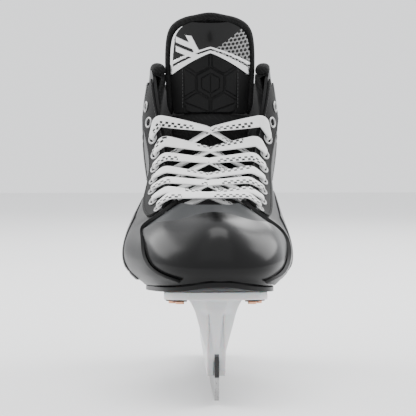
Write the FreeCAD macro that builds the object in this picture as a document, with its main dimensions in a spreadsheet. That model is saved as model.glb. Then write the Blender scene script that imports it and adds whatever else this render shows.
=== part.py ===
"""One ice hockey skate for a right foot: a moulded boot on a plastic holder with a steel runner.

Millimetres, +Z up, toe towards -Y, medial side towards +X. The origin is on the ice, under the middle of the
runner. The little-toe side is called lateral (-X) and the big-toe side medial (+X).
"""
import FreeCAD, Part
import math
import os
import Sketcher
from FreeCAD import Vector, Placement, Rotation

doc = FreeCAD.newDocument("hockey_skate")

# ---------------------------------------------------------------- driving dimensions
SIZES = {
    "boot_length": 283.5,      # toe tip to heel back
    "boot_width": 114.0,       # widest, at the ball of the foot
    "collar_height": 153.0,    # forefoot sole to the collar's front corner
    "stand_height": 69.0,      # ice to the forefoot sole
    "shell_wall": 2.4,         # quarter
    "facing_wall": 1.2,        # eyelet facing, on the quarter
    "facing_width": 19.0,
    "liner_wall": 2.6,
    "pad_wall": 5.0,           # ankle foam at its thickest
    "panel_wall": 1.0,         # outer side panels and heel strip
    "toe_wall": 2.8,
    "toe_lining_wall": 1.4,
    "outsole_wall": 3.0,
    "board_wall": 2.5,
    "footbed_wall": 4.0,
    "glue_gap": 0.3,           # between pieces that are glued or stitched
    "collar_roll": 2.5,        # radii of the padded rolls
    "tongue_roll": 2.6,
    "tongue_foam_wall": 6.0,
    "tongue_guard_wall": 2.2,
    "tongue_cap_wall": 1.4,
    "guard_wall": 2.6,         # tendon guard plastic
    "guard_height": 50.0,
    "flex_gap": 0.6,           # at the tongue's flex line
    "runner_wall": 3.0,
    "runner_length": 268.0,
    "runner_band": 9.0,        # polished band above the ice
    "runner_step": 0.05,       # how far the coated sides stand back from the band
    "runner_drop": 17.0,       # ice to the holder's lower edge
    "rocker_radius": 3000.0,
    "slot_gap": 0.05,          # each side of the runner
    "slot_depth": 11.0,
    "rail_width": 12.6,
    "rail_height": 13.0,
    "holder_length": 242.0,
    "flange_wall": 5.4,
    "flange_front_width": 69.0,
    "flange_rear_width": 58.0,
    "screw_radius": 2.5,
    "screw_gap": 0.05,
    "screw_span": 176.0,       # between the two runner screws
    "screw_head_radius": 4.2,
    "screw_head_height": 2.4,
    "nut_flats": 7.6,
    "nut_height": 2.5,
    "rivet_radius": 2.0,
    "rivet_gap": 0.15,
    "rivet_head_radius": 2.9,
    "rivet_head_height": 1.5,
    "cup_radius": 4.8,         # black washers under the flange
    "cup_wall": 1.0,
    "rivet_washer_radius": 4.6,
    "rivet_washer_wall": 0.7,  # steel washers on the insole board
    "eyelet_bore": 2.5,
    "eyelet_tube": 0.5,
    "eyelet_rim": 1.7,
    "eyelet_rim_height": 0.6,
    "lace_radius": 1.5,
    "aglet_length": 22.0,
}
sheet = doc.addObject("Spreadsheet::Sheet", "sizes")
for row, (name, value) in enumerate(SIZES.items(), start=1):
    sheet.set(f"A{row}", name)
    sheet.set(f"B{row}", str(value))
    sheet.setAlias(f"B{row}", name)
doc.recompute()


def size(name):
    """A driving dimension, read back from the sheet."""
    return float(getattr(sheet, name))


# ---------------------------------------------------------------- the boot's shape, at its design size
DESIGN_LENGTH, DESIGN_WIDTH, DESIGN_HEIGHT, DESIGN_SOLE = 283.5, 114.0, 153.0, 69.0
SCALE_X = size("boot_width") / DESIGN_WIDTH
SCALE_Y = size("boot_length") / DESIGN_LENGTH
SCALE_Z = size("collar_height") / DESIGN_HEIGHT
GAP = size("glue_gap")

# Sections of one side of the boot, from the toe's tip back to the heel: six points each, from the sole's edge
# up to the top edge, as half width, y and z. They lie on the quarters' outer face; the toe cap is inside it.
SECTIONS = [
    [(0, -140.8, 82.5), (0, -144.2, 92), (0, -137.2, 108.7),
     (0, -122.3, 120.4), (0, -98.8, 127.1), (0, -75.6, 132.4)],
    [(21.7, -133.2, 81), (28, -133.6, 91.5), (26.3, -125.6, 106.9),
     (19.2, -111.2, 118.3), (11.6, -92.8, 126.1), (6.3, -74.6, 132.4)],
    [(36.1, -115, 77.8), (44, -113, 90.5), (41.8, -107.5, 106),
     (32.7, -99, 116.7), (22, -86.7, 125), (13.5, -72.5, 132.5)],
    [(41, -93, 75.6), (51, -91, 88.5), (49.5, -86, 105),
     (41, -80, 117.5), (30, -74, 126.5), (20, -69, 132.8)],
    [(43.5, -66, 73.6), (55.2, -64, 85.5), (57, -60, 100),
     (50.5, -58, 112), (39.3, -59, 120.5), (26, -61, 132.5)],
    [(43.5, -44, 72.2), (54.2, -42, 82.5), (57, -40, 97.5),
     (53, -39, 113), (43, -40, 127), (27.8, -42, 139.5)],
    [(40, -20, 71.6), (49.2, -19, 82), (53, -18, 99),
     (50, -17, 119.5), (42.5, -18, 138.5), (29.8, -18, 151)],
    [(36, 4, 73.7), (43.5, 5, 86), (46.5, 6, 106),
     (45.5, 6, 132), (42, 4, 156.5), (32, 2, 168)],
    [(34, 26, 76.4), (40, 27, 90), (43, 27, 113),
     (45, 25, 147), (46, 21, 176.5), (38, 13, 191)],
    [(33, 46, 79.3), (38.5, 47, 93), (42.5, 47, 118),
     (47.5, 46, 154), (48.5, 41, 189), (42, 25, 217)],
    [(33, 66, 80.1), (38.5, 68, 95), (42.5, 68, 120),
     (47.5, 68, 155), (48, 64, 188), (44.5, 50, 221)],
    [(33, 86, 80.9), (38, 90, 96), (41, 91, 120),
     (43, 91, 153), (44, 88, 184), (44, 82, 210)],
    [(31, 106, 81.7), (35, 113, 97), (35.5, 115, 119),
     (33.5, 112, 152), (34, 108, 182), (35.5, 106, 206)],
    [(18.5, 124, 82.5), (21, 134, 97), (21.5, 136.5, 118),
     (19, 130, 150), (18.5, 124.5, 182), (19.5, 122.5, 206)],
    [(0, 130, 82.7), (0, 140, 97), (0, 142, 117),
     (0, 135.5, 149), (0, 129.5, 181), (0, 127.5, 206)],
]
LEVELS = len(SECTIONS[0]) - 1
HEEL = len(SECTIONS) - 1       # the heel's place round the boot, from 0 at the toe's tip up the lateral side

# The sole's outline: y, half width and the height of its underside.
SOLE_LINE = [
    (-138.5, 6.0, 78.3), (-136.5, 12.5, 77.2), (-130, 22.0, 75.2), (-116, 33.6, 73.4),
    (-96, 39.6, 72.0), (-70, 42.6, 70.3), (-44, 42.6, 68.6), (-20, 39.4, 68.2),
    (4, 35.6, 70.4), (26, 33.6, 73.4), (46, 32.8, 76.0), (66, 32.8, 76.8),
    (86, 32.6, 77.6), (104, 30.6, 78.3), (118, 23.5, 78.9), (126, 14.0, 79.2),
    (129.5, 6.0, 79.3),
]

# The tongue's middle line, from under the toe cap to its top: y, z, half width, how far the edges fall back.
TONGUE_LINE = [
    (-82, 114.5, 19, 3.5), (-64, 120.5, 23.5, 6), (-42, 130, 27, 8.5), (-18, 142.5, 28, 10),
    (1.5, 158, 28.6, 12), (12, 178, 29.5, 14), (15, 199, 31, 15.5), (14.5, 217, 32.2, 16.5),
    (11.5, 233.5, 32.2, 15), (8, 243.5, 30.6, 11.5), (5.2, 250, 26.8, 7.5), (3.4, 254.6, 20.5, 4),
    (2.5, 257.3, 10.5, 1.2),
]
TONGUE_FLEX = 5.6              # the upper flex line's place along TONGUE_LINE


def centre_shift(y):
    """How far the foot's middle line stands from the runner at a y of the design."""
    ball = -4.0 * math.exp(-(((y + 45) / 42.0) ** 2))
    toe = 2.5 / (1 + math.exp((y + 118) / 9.0))
    return ball + toe


def placed(half, y, z, side=1):
    """A design point in the skate's own frame; side is -1 for lateral and 1 for medial."""
    x = side * half + centre_shift(y)
    return Vector(x * SCALE_X, y * SCALE_Y, (z - DESIGN_SOLE) * SCALE_Z + size("stand_height"))


def spline_weights(values):
    """Second derivatives of the natural cubic spline through evenly spaced values."""
    n = len(values)
    second, upper = [0.0] * n, [0.0] * n
    for i in range(1, n - 1):
        divisor = 4.0 - upper[i - 1]
        upper[i] = 1.0 / divisor
        second[i] = (6.0 * (values[i + 1] - 2 * values[i] + values[i - 1]) - second[i - 1]) / divisor
    for i in range(n - 2, 0, -1):
        second[i] -= upper[i] * second[i + 1]
    return second


class Spline:
    """A natural cubic spline through points, one unit of its parameter apart."""

    def __init__(self, points):
        self.axes = [[p[k] for p in points] for k in range(len(points[0]))]
        self.second = [spline_weights(a) for a in self.axes]
        self.last = len(points) - 1

    def at(self, s):
        i = min(max(int(s), 0), self.last - 1)
        b = s - i
        a = 1.0 - b
        return [
            a * v[i] + b * v[i + 1] + ((a ** 3 - a) * w[i] + (b ** 3 - b) * w[i + 1]) / 6.0
            for v, w in zip(self.axes, self.second)
        ]


def ring():
    """The boot's sections right round, with a few met twice so that the toe's tip lies inside the run."""
    lateral = [[placed(*p, side=-1) for p in section] for section in SECTIONS]
    medial = [[placed(*p) for p in section] for section in SECTIONS]
    return medial[5:0:-1] + lateral + medial[-2:0:-1] + lateral[:6]


RING = [Spline(section) for section in ring()]
RING_START = 5                 # sections before the toe's tip in RING


def on_wall(s, t):
    return Vector(*Spline([section.at(t) for section in RING]).at(s + RING_START))


def outward(s, t):
    """The boot's outward direction at place s round it and level t up it."""
    step = 0.02
    t0, t1 = max(t - step, 0), min(t + step, LEVELS)
    along = on_wall(s + step, t) - on_wall(s - step, t)
    up = on_wall(s, t1) - on_wall(s, t0)
    return up.cross(along).normalize()


def wall(s, t, depth=0.0):
    """The quarters' outer face at place s round the boot and level t up it, moved inward by depth."""
    point = on_wall(s, t)
    return point if depth == 0.0 else point - outward(s, t) * depth


def steps(first, last, count):
    return [first + (last - first) * i / (count - 1) for i in range(count)]


def surface_through(rows):
    surface = Part.BSplineSurface()
    surface.interpolate(rows)
    return surface


def solid_between(outer_rows, inner_rows):
    """A closed solid between two grids of points that match row by row."""
    outer, inner = surface_through(outer_rows), surface_through(inner_rows)
    faces = [outer.toShape(), inner.toShape()]
    for a, b in zip(borders(outer), borders(inner)):
        faces += Part.makeLoft([Part.Wire(a), Part.Wire(b)], False, True).Faces
    shell = Part.makeShell(faces)
    shell.sewShape()
    solid = Part.makeSolid(shell)
    if solid.Volume < 0:
        solid.reverse()
    return solid


def borders(surface):
    u0, u1, v0, v1 = surface.bounds()
    curves = [surface.uIso(u0), surface.vIso(v1), surface.uIso(u1), surface.vIso(v0)]
    return [curve.toShape() for curve in curves]


def value(quantity, *place):
    return quantity(*place) if callable(quantity) else quantity


def wall_piece(first, last, low, high, outer, inner, counts=(21, 9)):
    """A piece of the wall between two depths. Its ends may be functions of a share of the height, its edges
    (low and high) functions of the place, and its depths functions of both."""
    def rows(depth):
        grid = []
        for a in steps(0, 1, counts[0]):
            row = []
            for b in steps(0, 1, counts[1]):
                s = value(first, b) + a * (value(last, b) - value(first, b))
                t = value(low, s) + b * (value(high, s) - value(low, s))
                row.append(wall(s, t, value(depth, s, t)))
            grid.append(row)
        return grid
    return solid_between(rows(outer), rows(inner))


def add(name, shape):
    """A sub-part whose shape is made here, because no feature or primitive fits it."""
    obj = doc.addObject("Part::Feature", name)
    obj.Label = name
    obj.Shape = shape
    NODES.append(obj)
    return obj


NODES = []
gauge = doc.addObject("Part::Vertex", "gauge")


def mirrored(s):
    """The medial place opposite a lateral one."""
    return 2 * HEEL - s


def smooth(low, high, value):
    """0 below low, 1 above high and smooth between."""
    x = min(max((value - low) / (high - low), 0.0), 1.0)
    return x * x * (3 - 2 * x)


# ---------------------------------------------------------------- quarters, toe cap and lining
# The quarters' front edges, level by level: lateral and medial places.
SEAMS = {-1: Spline([(1.25,), (2.2,), (2.9,), (3.55,), (3.5,), (3.35,)]),
         1: Spline([(1.6,), (2.9,), (3.65,), (3.85,), (3.6,), (3.35,)])}
EYELET_LEVEL = 4.42
QUARTER = size("shell_wall")


def seam(side):
    """The place of a quarter's front edge, as a function of the share of the height."""
    return lambda b: SEAMS[side].at(b * LEVELS)[0]


def quarter(side):
    front = seam(side)
    ends = (front, HEEL - 0.012) if side < 0 else (HEEL + 0.012, lambda b: mirrored(front(b)))
    return wall_piece(*ends, 0.0, LEVELS, 0.0, QUARTER, (31, 11))


TOE_OUT = QUARTER + GAP + 0.2


def toe_cap():
    return wall_piece(-4.55, 4.55, 0.0, toe_top, TOE_OUT, TOE_OUT + size("toe_wall"), (41, 13))


def toe_top(s):
    """The cap's upper edge runs lower at the sides, under the quarters."""
    return LEVELS - 0.12 - 1.3 * smooth(2.9, 4.1, abs(s))


def toe_lining():
    outer = TOE_OUT + size("toe_wall") + GAP + 0.2
    inner = outer + size("toe_lining_wall")
    return wall_piece(-4.4, 4.4, 0.25, lambda s: toe_top(s) - 0.15, outer, inner, (41, 13))


LINER_OUT = QUARTER + GAP
LINER_IN = LINER_OUT + size("liner_wall")


def liner_top(s):
    """The liner stops below the eyelets and reaches the top edge round the collar."""
    place = min(s, mirrored(s))
    return 3.8 + 1.15 * smooth(9.0, 9.5, place)


def liner(side):
    ends = (4.75, HEEL - 0.02) if side < 0 else (HEEL + 0.02, mirrored(4.75))
    return wall_piece(*ends, 0.45, liner_top, LINER_OUT, LINER_IN, (27, 9))


def ankle_pad(side):
    outer = LINER_IN + GAP

    def inner(s, t):
        place = min(s, mirrored(s))
        bump = smooth(9.2, 9.9, place) * (1 - smooth(11.2, 12.7, place))
        lift = smooth(2.1, 3.1, t) * (1 - smooth(4.0, 4.85, t))
        ankle = 1 - 0.45 * math.exp(-((place - 10.1) ** 2 + 2.0 * (t - 3.2) ** 2) * 2.2)
        return outer + 0.9 + (size("pad_wall") - 0.9) * bump * lift * ankle

    ends = (9.3, 12.8) if side < 0 else (mirrored(12.8), mirrored(9.3))
    return wall_piece(*ends, 2.0, 4.85, outer, inner, (21, 11))


def facing(side):
    first, last = 3.75, 8.95
    ends = (first, last) if side < 0 else (mirrored(last), mirrored(first))
    outer = -GAP - size("facing_wall")
    low = 4.98 - size("facing_width") / 17.5
    return wall_piece(*ends, low, 4.97, outer, -GAP, (27, 5))


def panel(side):
    """The glossy panel over the ankle."""
    def front(b):
        return 9.6 - 0.25 * b
    ends = (front, 13.3) if side < 0 else (mirrored(13.3), lambda b: mirrored(front(b)))
    return wall_piece(*ends, lambda s: 2.55, 4.72, -GAP - size("panel_wall"), -GAP, (21, 7))


def strip(side):
    """The panel along the lower side, from the ball of the foot to the heel."""
    def top(s):
        return 3.3 - 1.05 * smooth(6.0, 9.2, min(s, mirrored(s)))

    def front(b):
        return 4.1 + 1.0 * b
    ends = (front, 13.3) if side < 0 else (mirrored(13.3), lambda b: mirrored(front(b)))
    return wall_piece(*ends, 0.35, top, -GAP - size("panel_wall"), -GAP, (27, 7))


def heel_strip():
    return wall_piece(13.36, mirrored(13.36), 0.2, 4.7, -GAP - size("panel_wall") * 1.4, -GAP, (9, 13))


# ---------------------------------------------------------------- eyelets
EYELETS = 9
RIM_GAP = 0.35                 # room for the facing's curve under an eyelet's rim
ROLL = 1.1                     # how far an eyelet's rolled edge stands inside the quarter
EYELET_PITCH = 14.4 * SCALE_Y


def eyelet_places():
    """The eyelets' places along the facing, a pitch apart along its line."""
    places, s = [3.95], 3.95
    here = wall(s, EYELET_LEVEL)
    while len(places) < EYELETS:
        s += 0.01
        there = wall(s, EYELET_LEVEL)
        if (there - here).Length >= EYELET_PITCH:
            places.append(s)
            here = there
    return places


PLACES = eyelet_places()


def eyelet_axis(k, side):
    """The eyelet's place on the quarter's outer face, and its axis outward."""
    s = PLACES[k] if side < 0 else mirrored(PLACES[k])
    return wall(s, EYELET_LEVEL), outward(s, EYELET_LEVEL)


def tube(base, axis, low, high, radius, bore=None):
    shape = Part.makeCylinder(radius, high - low, base + axis * low, axis)
    if bore is None:
        return shape
    return shape.cut(Part.makeCylinder(bore, high - low + 2, base + axis * (low - 1), axis))


def eyelets(side):
    """Barrels through facing and quarter, with a rim outside and a rolled edge inside."""
    bore, barrel = size("eyelet_bore"), size("eyelet_bore") + size("eyelet_tube")
    top = GAP + size("facing_wall") + RIM_GAP
    solids = []
    for k in range(EYELETS):
        base, axis = eyelet_axis(k, side)
        rim = tube(base, axis, top, top + size("eyelet_rim_height"), bore + size("eyelet_rim"), bore)
        body = tube(base, axis, -QUARTER - ROLL + 0.1, top + size("eyelet_rim_height") / 2, barrel, bore)
        inside = tube(base, axis, -QUARTER - ROLL, -QUARTER - ROLL + 0.5, barrel + 0.7, bore)
        solids.append(rim.fuse([body, inside]).removeSplitter())
    return Part.makeCompound(solids)


def drilled(shape, side):
    """A quarter or facing with its eyelet holes."""
    hole = size("eyelet_bore") + size("eyelet_tube") + 0.2
    return shape.cut([tube(*eyelet_axis(k, side), -6, 5, hole) for k in range(EYELETS)])


# ---------------------------------------------------------------- collar binding
def collar_binding(side):
    """A padded roll along the collar's top edge."""
    radius = size("collar_roll")
    points = []
    for s in steps(9.05, 12.28, 9):
        place = s if side < 0 else mirrored(s)
        edge = wall(place, LEVELS, LINER_IN / 2)
        up = (wall(place, LEVELS, LINER_IN / 2) - wall(place, LEVELS - 0.05, LINER_IN / 2)).normalize()
        points.append(edge + up * (radius + 1.1))
    return swept(points, radius)


def swept(points, radius):
    """A round roll along runs through points, joined by the largest tangent arcs that they allow."""
    path = rounded_path(points, 500.0)
    first = path.Edges[0]
    start, direction = first.valueAt(first.FirstParameter), first.tangentAt(first.FirstParameter)
    profile = Part.Wire(Part.makeCircle(radius, start, direction))
    return path.makePipeShell([profile], True, True)


# ---------------------------------------------------------------- sole
SOLE = Spline([placed(0, y, z) for y, half, z in SOLE_LINE])
SOLE_HALF = Spline([(half,) for y, half, z in SOLE_LINE])


def sole_rows(height, inset, first=0.0, last=None):
    """A grid over the sole: height above its underside, inset from its outline."""
    last = SOLE.last if last is None else last
    rows = []
    for u in steps(first, last, 33):
        middle = SOLE.at(u)
        half = (SOLE_HALF.at(u)[0] - inset) * SCALE_X
        rows.append([Vector(middle[0] + half * v, middle[1], middle[2] + value(height, u, v))
                     for v in steps(-1, 1, 7)])
    return rows


def sole_layer(low, high, inset, first, last):
    return solid_between(sole_rows(low, inset, first, last), sole_rows(high, inset, first, last))


def outsole():
    return sole_layer(0.0, size("outsole_wall"), 0.0, 0.0, SOLE.last)


def insole_board():
    low = size("outsole_wall") + GAP
    return sole_layer(low, low + size("board_wall"), 7.0, 1.3, SOLE.last - 1.2)


def footbed():
    rivet_room = size("rivet_washer_wall") + size("rivet_gap") + 1.4
    low = size("outsole_wall") + 2 * GAP + size("board_wall") + rivet_room

    def high(u, v):
        cup = 3.2 * smooth(8, 13, u) * v * v
        return low + size("footbed_wall") + cup

    return sole_layer(low, high, 9.5, 1.6, SOLE.last - 1.6)


# ---------------------------------------------------------------- tongue
TONGUE = Spline([(y * SCALE_Y, (z - DESIGN_SOLE) * SCALE_Z + size("stand_height"), half * SCALE_X, drop)
                 for y, z, half, drop in TONGUE_LINE])


def tongue_point(u, v, depth=0.0):
    """The tongue's outer face at place u up its middle line and v across it, moved inward by depth."""
    y, z, half, drop = TONGUE.at(u)
    ahead, behind = TONGUE.at(min(u + 0.02, TONGUE.last)), TONGUE.at(max(u - 0.02, 0))
    up = Vector(0, ahead[0] - behind[0], ahead[1] - behind[1]).normalize()
    back = Vector(0, up.z, -up.y)
    x = v * half + centre_shift(y / SCALE_Y) * SCALE_X
    slope = 2 * drop * v / max(half, 1.0)
    normal = (back - Vector(slope, 0, 0)).normalize()
    return Vector(x, y, z) + back * (drop * v * v) + normal * depth


def tongue_piece(first, last, inset, low, high, counts=(21, 11)):
    """A layer of the tongue between two depths, inset from its edges."""
    def rows(depth):
        grid = []
        for u in steps(first, last, counts[0]):
            half = 1 - inset / (TONGUE.at(u)[2] / SCALE_X)
            grid.append([tongue_point(u, v, value(depth, u, v)) for v in steps(-half, half, counts[1])])
        return grid
    return solid_between(rows(low), rows(high))


TONGUE_SKIN = size("tongue_guard_wall") + GAP
TONGUE_BACK = TONGUE_SKIN + size("tongue_foam_wall")
PLACE_LENGTH = 19.0            # along the tongue between points of TONGUE_LINE, near the flex
FLEX_SHARE = size("flex_gap") / PLACE_LENGTH
ABOVE_FLEX = TONGUE_FLEX + FLEX_SHARE


def tongue_lower():
    return tongue_piece(0.0, TONGUE_FLEX - FLEX_SHARE, 0.5, 0.0, 5.0)


def tongue_foam():
    return tongue_piece(ABOVE_FLEX, TONGUE.last - 1.0, size("tongue_roll") + 1.2, TONGUE_SKIN, TONGUE_BACK)


def tongue_guard():
    return tongue_piece(ABOVE_FLEX, 8.15, 3.3, 0.0, size("tongue_guard_wall"))


def tongue_panel():
    return tongue_piece(8.2, TONGUE.last - 0.9, 3.3, 0.4, 0.4 + size("tongue_cap_wall"))


def tongue_felt():
    low = TONGUE_BACK + GAP
    return tongue_piece(ABOVE_FLEX + FLEX_SHARE, TONGUE.last - 1.0, 3.6, low, low + 2.0)


BINDING_STOPS = [ABOVE_FLEX, 6.6, 7.5, 8.3, 9.1, 10.0, 10.9, 11.7]


def tongue_binding():
    radius = size("tongue_roll")
    depth = TONGUE_BACK / 2
    up = [tongue_point(u, -1.02, depth) for u in BINDING_STOPS]
    down = [tongue_point(u, 1.02, depth) for u in BINDING_STOPS[::-1]]
    top = tongue_point(TONGUE.last, 0, depth) + Vector(0, 0, 1.3)
    return swept(up + [top] + down, radius)



# ---------------------------------------------------------------- tendon guard
def guard_point(s, h, depth=0.0):
    """The guard's outer face, h above the quarters' top edge and leaning back as it rises."""
    height = size("guard_height")
    edge = wall(s, LEVELS, depth)
    spread = 1 - 0.22 * (h / height) ** 2
    lean = 2.0 * h / height + 5.0 * (h / height) ** 2
    return Vector(edge.x * spread, edge.y + lean * 0.35, edge.z + h)


def guard_height(s):
    """The guard is highest over the heel and slopes down to its sides."""
    away = abs(s - HEEL) / 1.9
    return size("guard_height") * (1 - 0.62 * smooth(0.15, 1.0, away))


def guard_piece(width, base, inset, low, high):
    def rows(depth):
        grid = []
        for s in steps(HEEL - width, HEEL + width, 17):
            top = guard_height(s) - inset
            grid.append([guard_point(s, base + (top - base) * b, depth) for b in steps(0, 1, 9)])
        return grid
    return solid_between(rows(low), rows(high))


def tendon_guard():
    return guard_piece(1.6, 0.6, 0.0, 0.2, 0.2 + size("guard_wall"))


def tendon_pad():
    low = 0.2 + size("guard_wall") + GAP
    return guard_piece(1.45, 1.2, 3.0, low, low + 4.0)


# ---------------------------------------------------------------- sketches and bodies
def bound(expression):
    """An expression over the sheet's cells, with each cell named in square brackets."""
    return expression.replace("[", "sizes.").replace("]", "")


def body(name):
    part = doc.addObject("PartDesign::Body", name)
    part.Label = name
    NODES.append(part)
    return part


def sketch_on(part, role, name, offset="0"):
    """A sketch on one of the body's origin planes, raised along the plane's normal by an expression."""
    plane = [p for p in part.Origin.OriginFeatures if p.Role == role][0]
    sketch = part.newObject("Sketcher::SketchObject", name)
    sketch.AttachmentSupport = [(plane, "")]
    sketch.MapMode = "FlatFace"
    sketch.setExpression("AttachmentOffset.Base.z", bound(offset))
    return sketch


def outline(sketch, points):
    """A closed outline whose corners sit at pairs of expressions."""
    values = [(measured(a), measured(b)) for a, b in points]
    first = sketch.GeometryCount
    for (a, b), (c, d) in zip(values, values[1:] + values[:1]):
        sketch.addGeometry(Part.LineSegment(Vector(a, b, 0), Vector(c, d, 0)), False)
    count = len(points)
    for k in range(count):
        sketch.addConstraint(Sketcher.Constraint("Coincident", first + k, 2, first + (k + 1) % count, 1))
    for k, (a, b) in enumerate(points):
        at_a, at_b = values[k]
        for axis, expression, number in (("X", a, at_a), ("Y", b, at_b)):
            index = sketch.addConstraint(Sketcher.Constraint(f"Distance{axis}", -1, 1, first + k, 1, number))
            sketch.setExpression(f"Constraints[{index}]", bound(expression))


def circles(sketch, radius, centres):
    """Circles of one radius at pairs of expressions."""
    for a, b in centres:
        at_a, at_b = measured(a), measured(b)
        k = sketch.addGeometry(Part.Circle(Vector(at_a, at_b, 0), Vector(0, 0, 1), measured(radius)), False)
        index = sketch.addConstraint(Sketcher.Constraint("Radius", k, measured(radius)))
        sketch.setExpression(f"Constraints[{index}]", bound(radius))
        for axis, expression, number in (("X", a, at_a), ("Y", b, at_b)):
            index = sketch.addConstraint(Sketcher.Constraint(f"Distance{axis}", -1, 1, k, 3, number))
            sketch.setExpression(f"Constraints[{index}]", bound(expression))


def measured(expression):
    """An expression's value now, from the cells it names, for a sketch's first drawing."""
    gauge.setExpression("X", bound(expression))
    gauge.recompute()
    return gauge.X.Value


def pad(part, sketch, length, both_ways=False):
    feature = part.newObject("PartDesign::Pad", sketch.Name + "_pad")
    feature.Profile = sketch
    feature.Midplane = both_ways
    feature.setExpression("Length", bound(length))
    return feature


def pocket(part, sketch, length, both_ways=False, backwards=False):
    feature = part.newObject("PartDesign::Pocket", sketch.Name + "_pocket")
    feature.Profile = sketch
    feature.Midplane = both_ways
    feature.Reversed = backwards
    feature.setExpression("Length", bound(length))
    return feature


# ---------------------------------------------------------------- where the holder meets the sole
SLOPE_FRONT = 0.0667 * SCALE_Z / SCALE_Y
SLOPE_REAR = -0.0400 * SCALE_Z / SCALE_Y
SOLE_GAP = 0.15                # between the flanges and the outsole
LONG = "[boot_length] / 283.5"
WIDE = "[boot_width] / 114"
TALL = "[collar_height] / 153"
FRONT_TOP = f"[stand_height] + 4.4 * {TALL} - 0.15"      # height of the front flange's top at its datum
REAR_TOP = f"[stand_height] + 7.1 * {TALL} - 0.15"
FRONT_AT, REAR_AT = -116.0, 48.0                         # the data's places along the design


def flange_frame(front):
    """A frame on a flange's top: its X is the skate's, its Y runs back along the flange."""
    at, top = (FRONT_AT, FRONT_TOP) if front else (REAR_AT, REAR_TOP)
    return Placement(Vector(0, at * SCALE_Y, measured(top)), Rotation(Vector(1, 0, 0), tilt(front)))


def tilt(front):
    return -math.degrees(math.atan(SLOPE_FRONT if front else SLOPE_REAR))


# Flange outlines in their frames, as half width and y; the widths come from the sheet.
FRONT_FLANGE = [("0.26 * [flange_front_width]", -4.5), ("0.42 * [flange_front_width]", 1.5),
                ("0.5 * [flange_front_width]", 11), ("0.5 * [flange_front_width]", 64),
                ("0.42 * [flange_front_width]", 78), ("0.2 * [flange_front_width]", 84)]
REAR_FLANGE = [("0.18 * [flange_rear_width]", 3), ("0.4 * [flange_rear_width]", 5),
               ("0.5 * [flange_rear_width]", 11), ("0.5 * [flange_rear_width]", 60),
               ("0.4 * [flange_rear_width]", 70), ("0.18 * [flange_rear_width]", 75)]
FRONT_RIVETS = [(24.0, 6.0), (28.5, 24.0), (28.5, 46.0), (25.0, 67.0)]
REAR_RIVETS = [(23.0, 18.0), (23.0, 38.0), (22.0, 57.0)]


def both_halves(points):
    """An outline's right half and its mirror image, in order."""
    right = [(f"({x})", f"({y}) * {LONG}") for x, y in points]
    left = [(f"-({x})", f"({y}) * {LONG}") for x, y in points[::-1]]
    return right + left


def rivet_centres(front):
    points = FRONT_RIVETS if front else REAR_RIVETS
    return [(f"{sign}{x} * {WIDE}", f"{y} * {LONG}") for x, y in points for sign in ("", "-")]


def tilted_sketch(part, name, front, lift="0"):
    """A sketch on a flange's top plane, raised by an expression."""
    sketch = sketch_on(part, "XY_Plane", name)
    frame = flange_frame(front)
    frame.Base = frame.Base + frame.Rotation.multVec(Vector(0, 0, measured(lift)))
    sketch.setExpression("AttachmentOffset.Base.z", None)
    sketch.AttachmentOffset = frame
    return sketch


# ---------------------------------------------------------------- holder
# Tower sections: height above the ice, width, y of the inner end, gap from the outer end to the holder end.
FRONT_TOWER = [(67.0, 37.0, -32, 6), (60, 28.6, -40, 4), (51, 23.2, -48, 2.5), (41, 17.2, -55, 1)]
REAR_TOWER = [(72.0, 32.0, 53, 0), (63, 26.0, 57, -0.5), (52, 21.0, 60, -0.5), (41, 16.6, 66, -0.3)]
FRONT_FOOT, REAR_FOOT = (29.5, -64, 0), (29.5, 74, 0)    # where the towers meet the rail


def tower(part, sections, foot, name):
    """A flared tower as a loft over eight-cornered sections, from the flange down to the rail."""
    side = "-" if foot[1] < 0 else ""
    levels = [(z, f"({width} * {WIDE})", inner, outer) for z, width, inner, outer in sections]
    levels.append((foot[0], "([rail_width] + 0.2)", foot[1], foot[2]))
    sketches = []
    for k, (z, width, inner, outer) in enumerate(levels):
        sketch = sketch_on(part, "XY_Plane", f"{name}_{k}", f"{z} * [stand_height] / 69")
        ends = [f"({side}([holder_length] / 2 - {outer}))", f"({inner} * {LONG})"]
        front, back = ends if side else ends[::-1]
        half, narrow, bevel = f"{width} * 0.5", f"{width} * 0.2", f"{width} * 0.42"
        right = [(narrow, front), (half, f"{front} + {bevel}"), (half, f"{back} - {bevel}"), (narrow, back)]
        outline(sketch, right + [(f"-{x}", y) for x, y in right[::-1]])
        sketches.append(sketch)
    doc.recompute()
    loft = part.newObject("PartDesign::AdditiveLoft", name)
    loft.Profile = sketches[0]
    loft.Sections = sketches[1:]
    loft.Ruled = False


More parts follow.
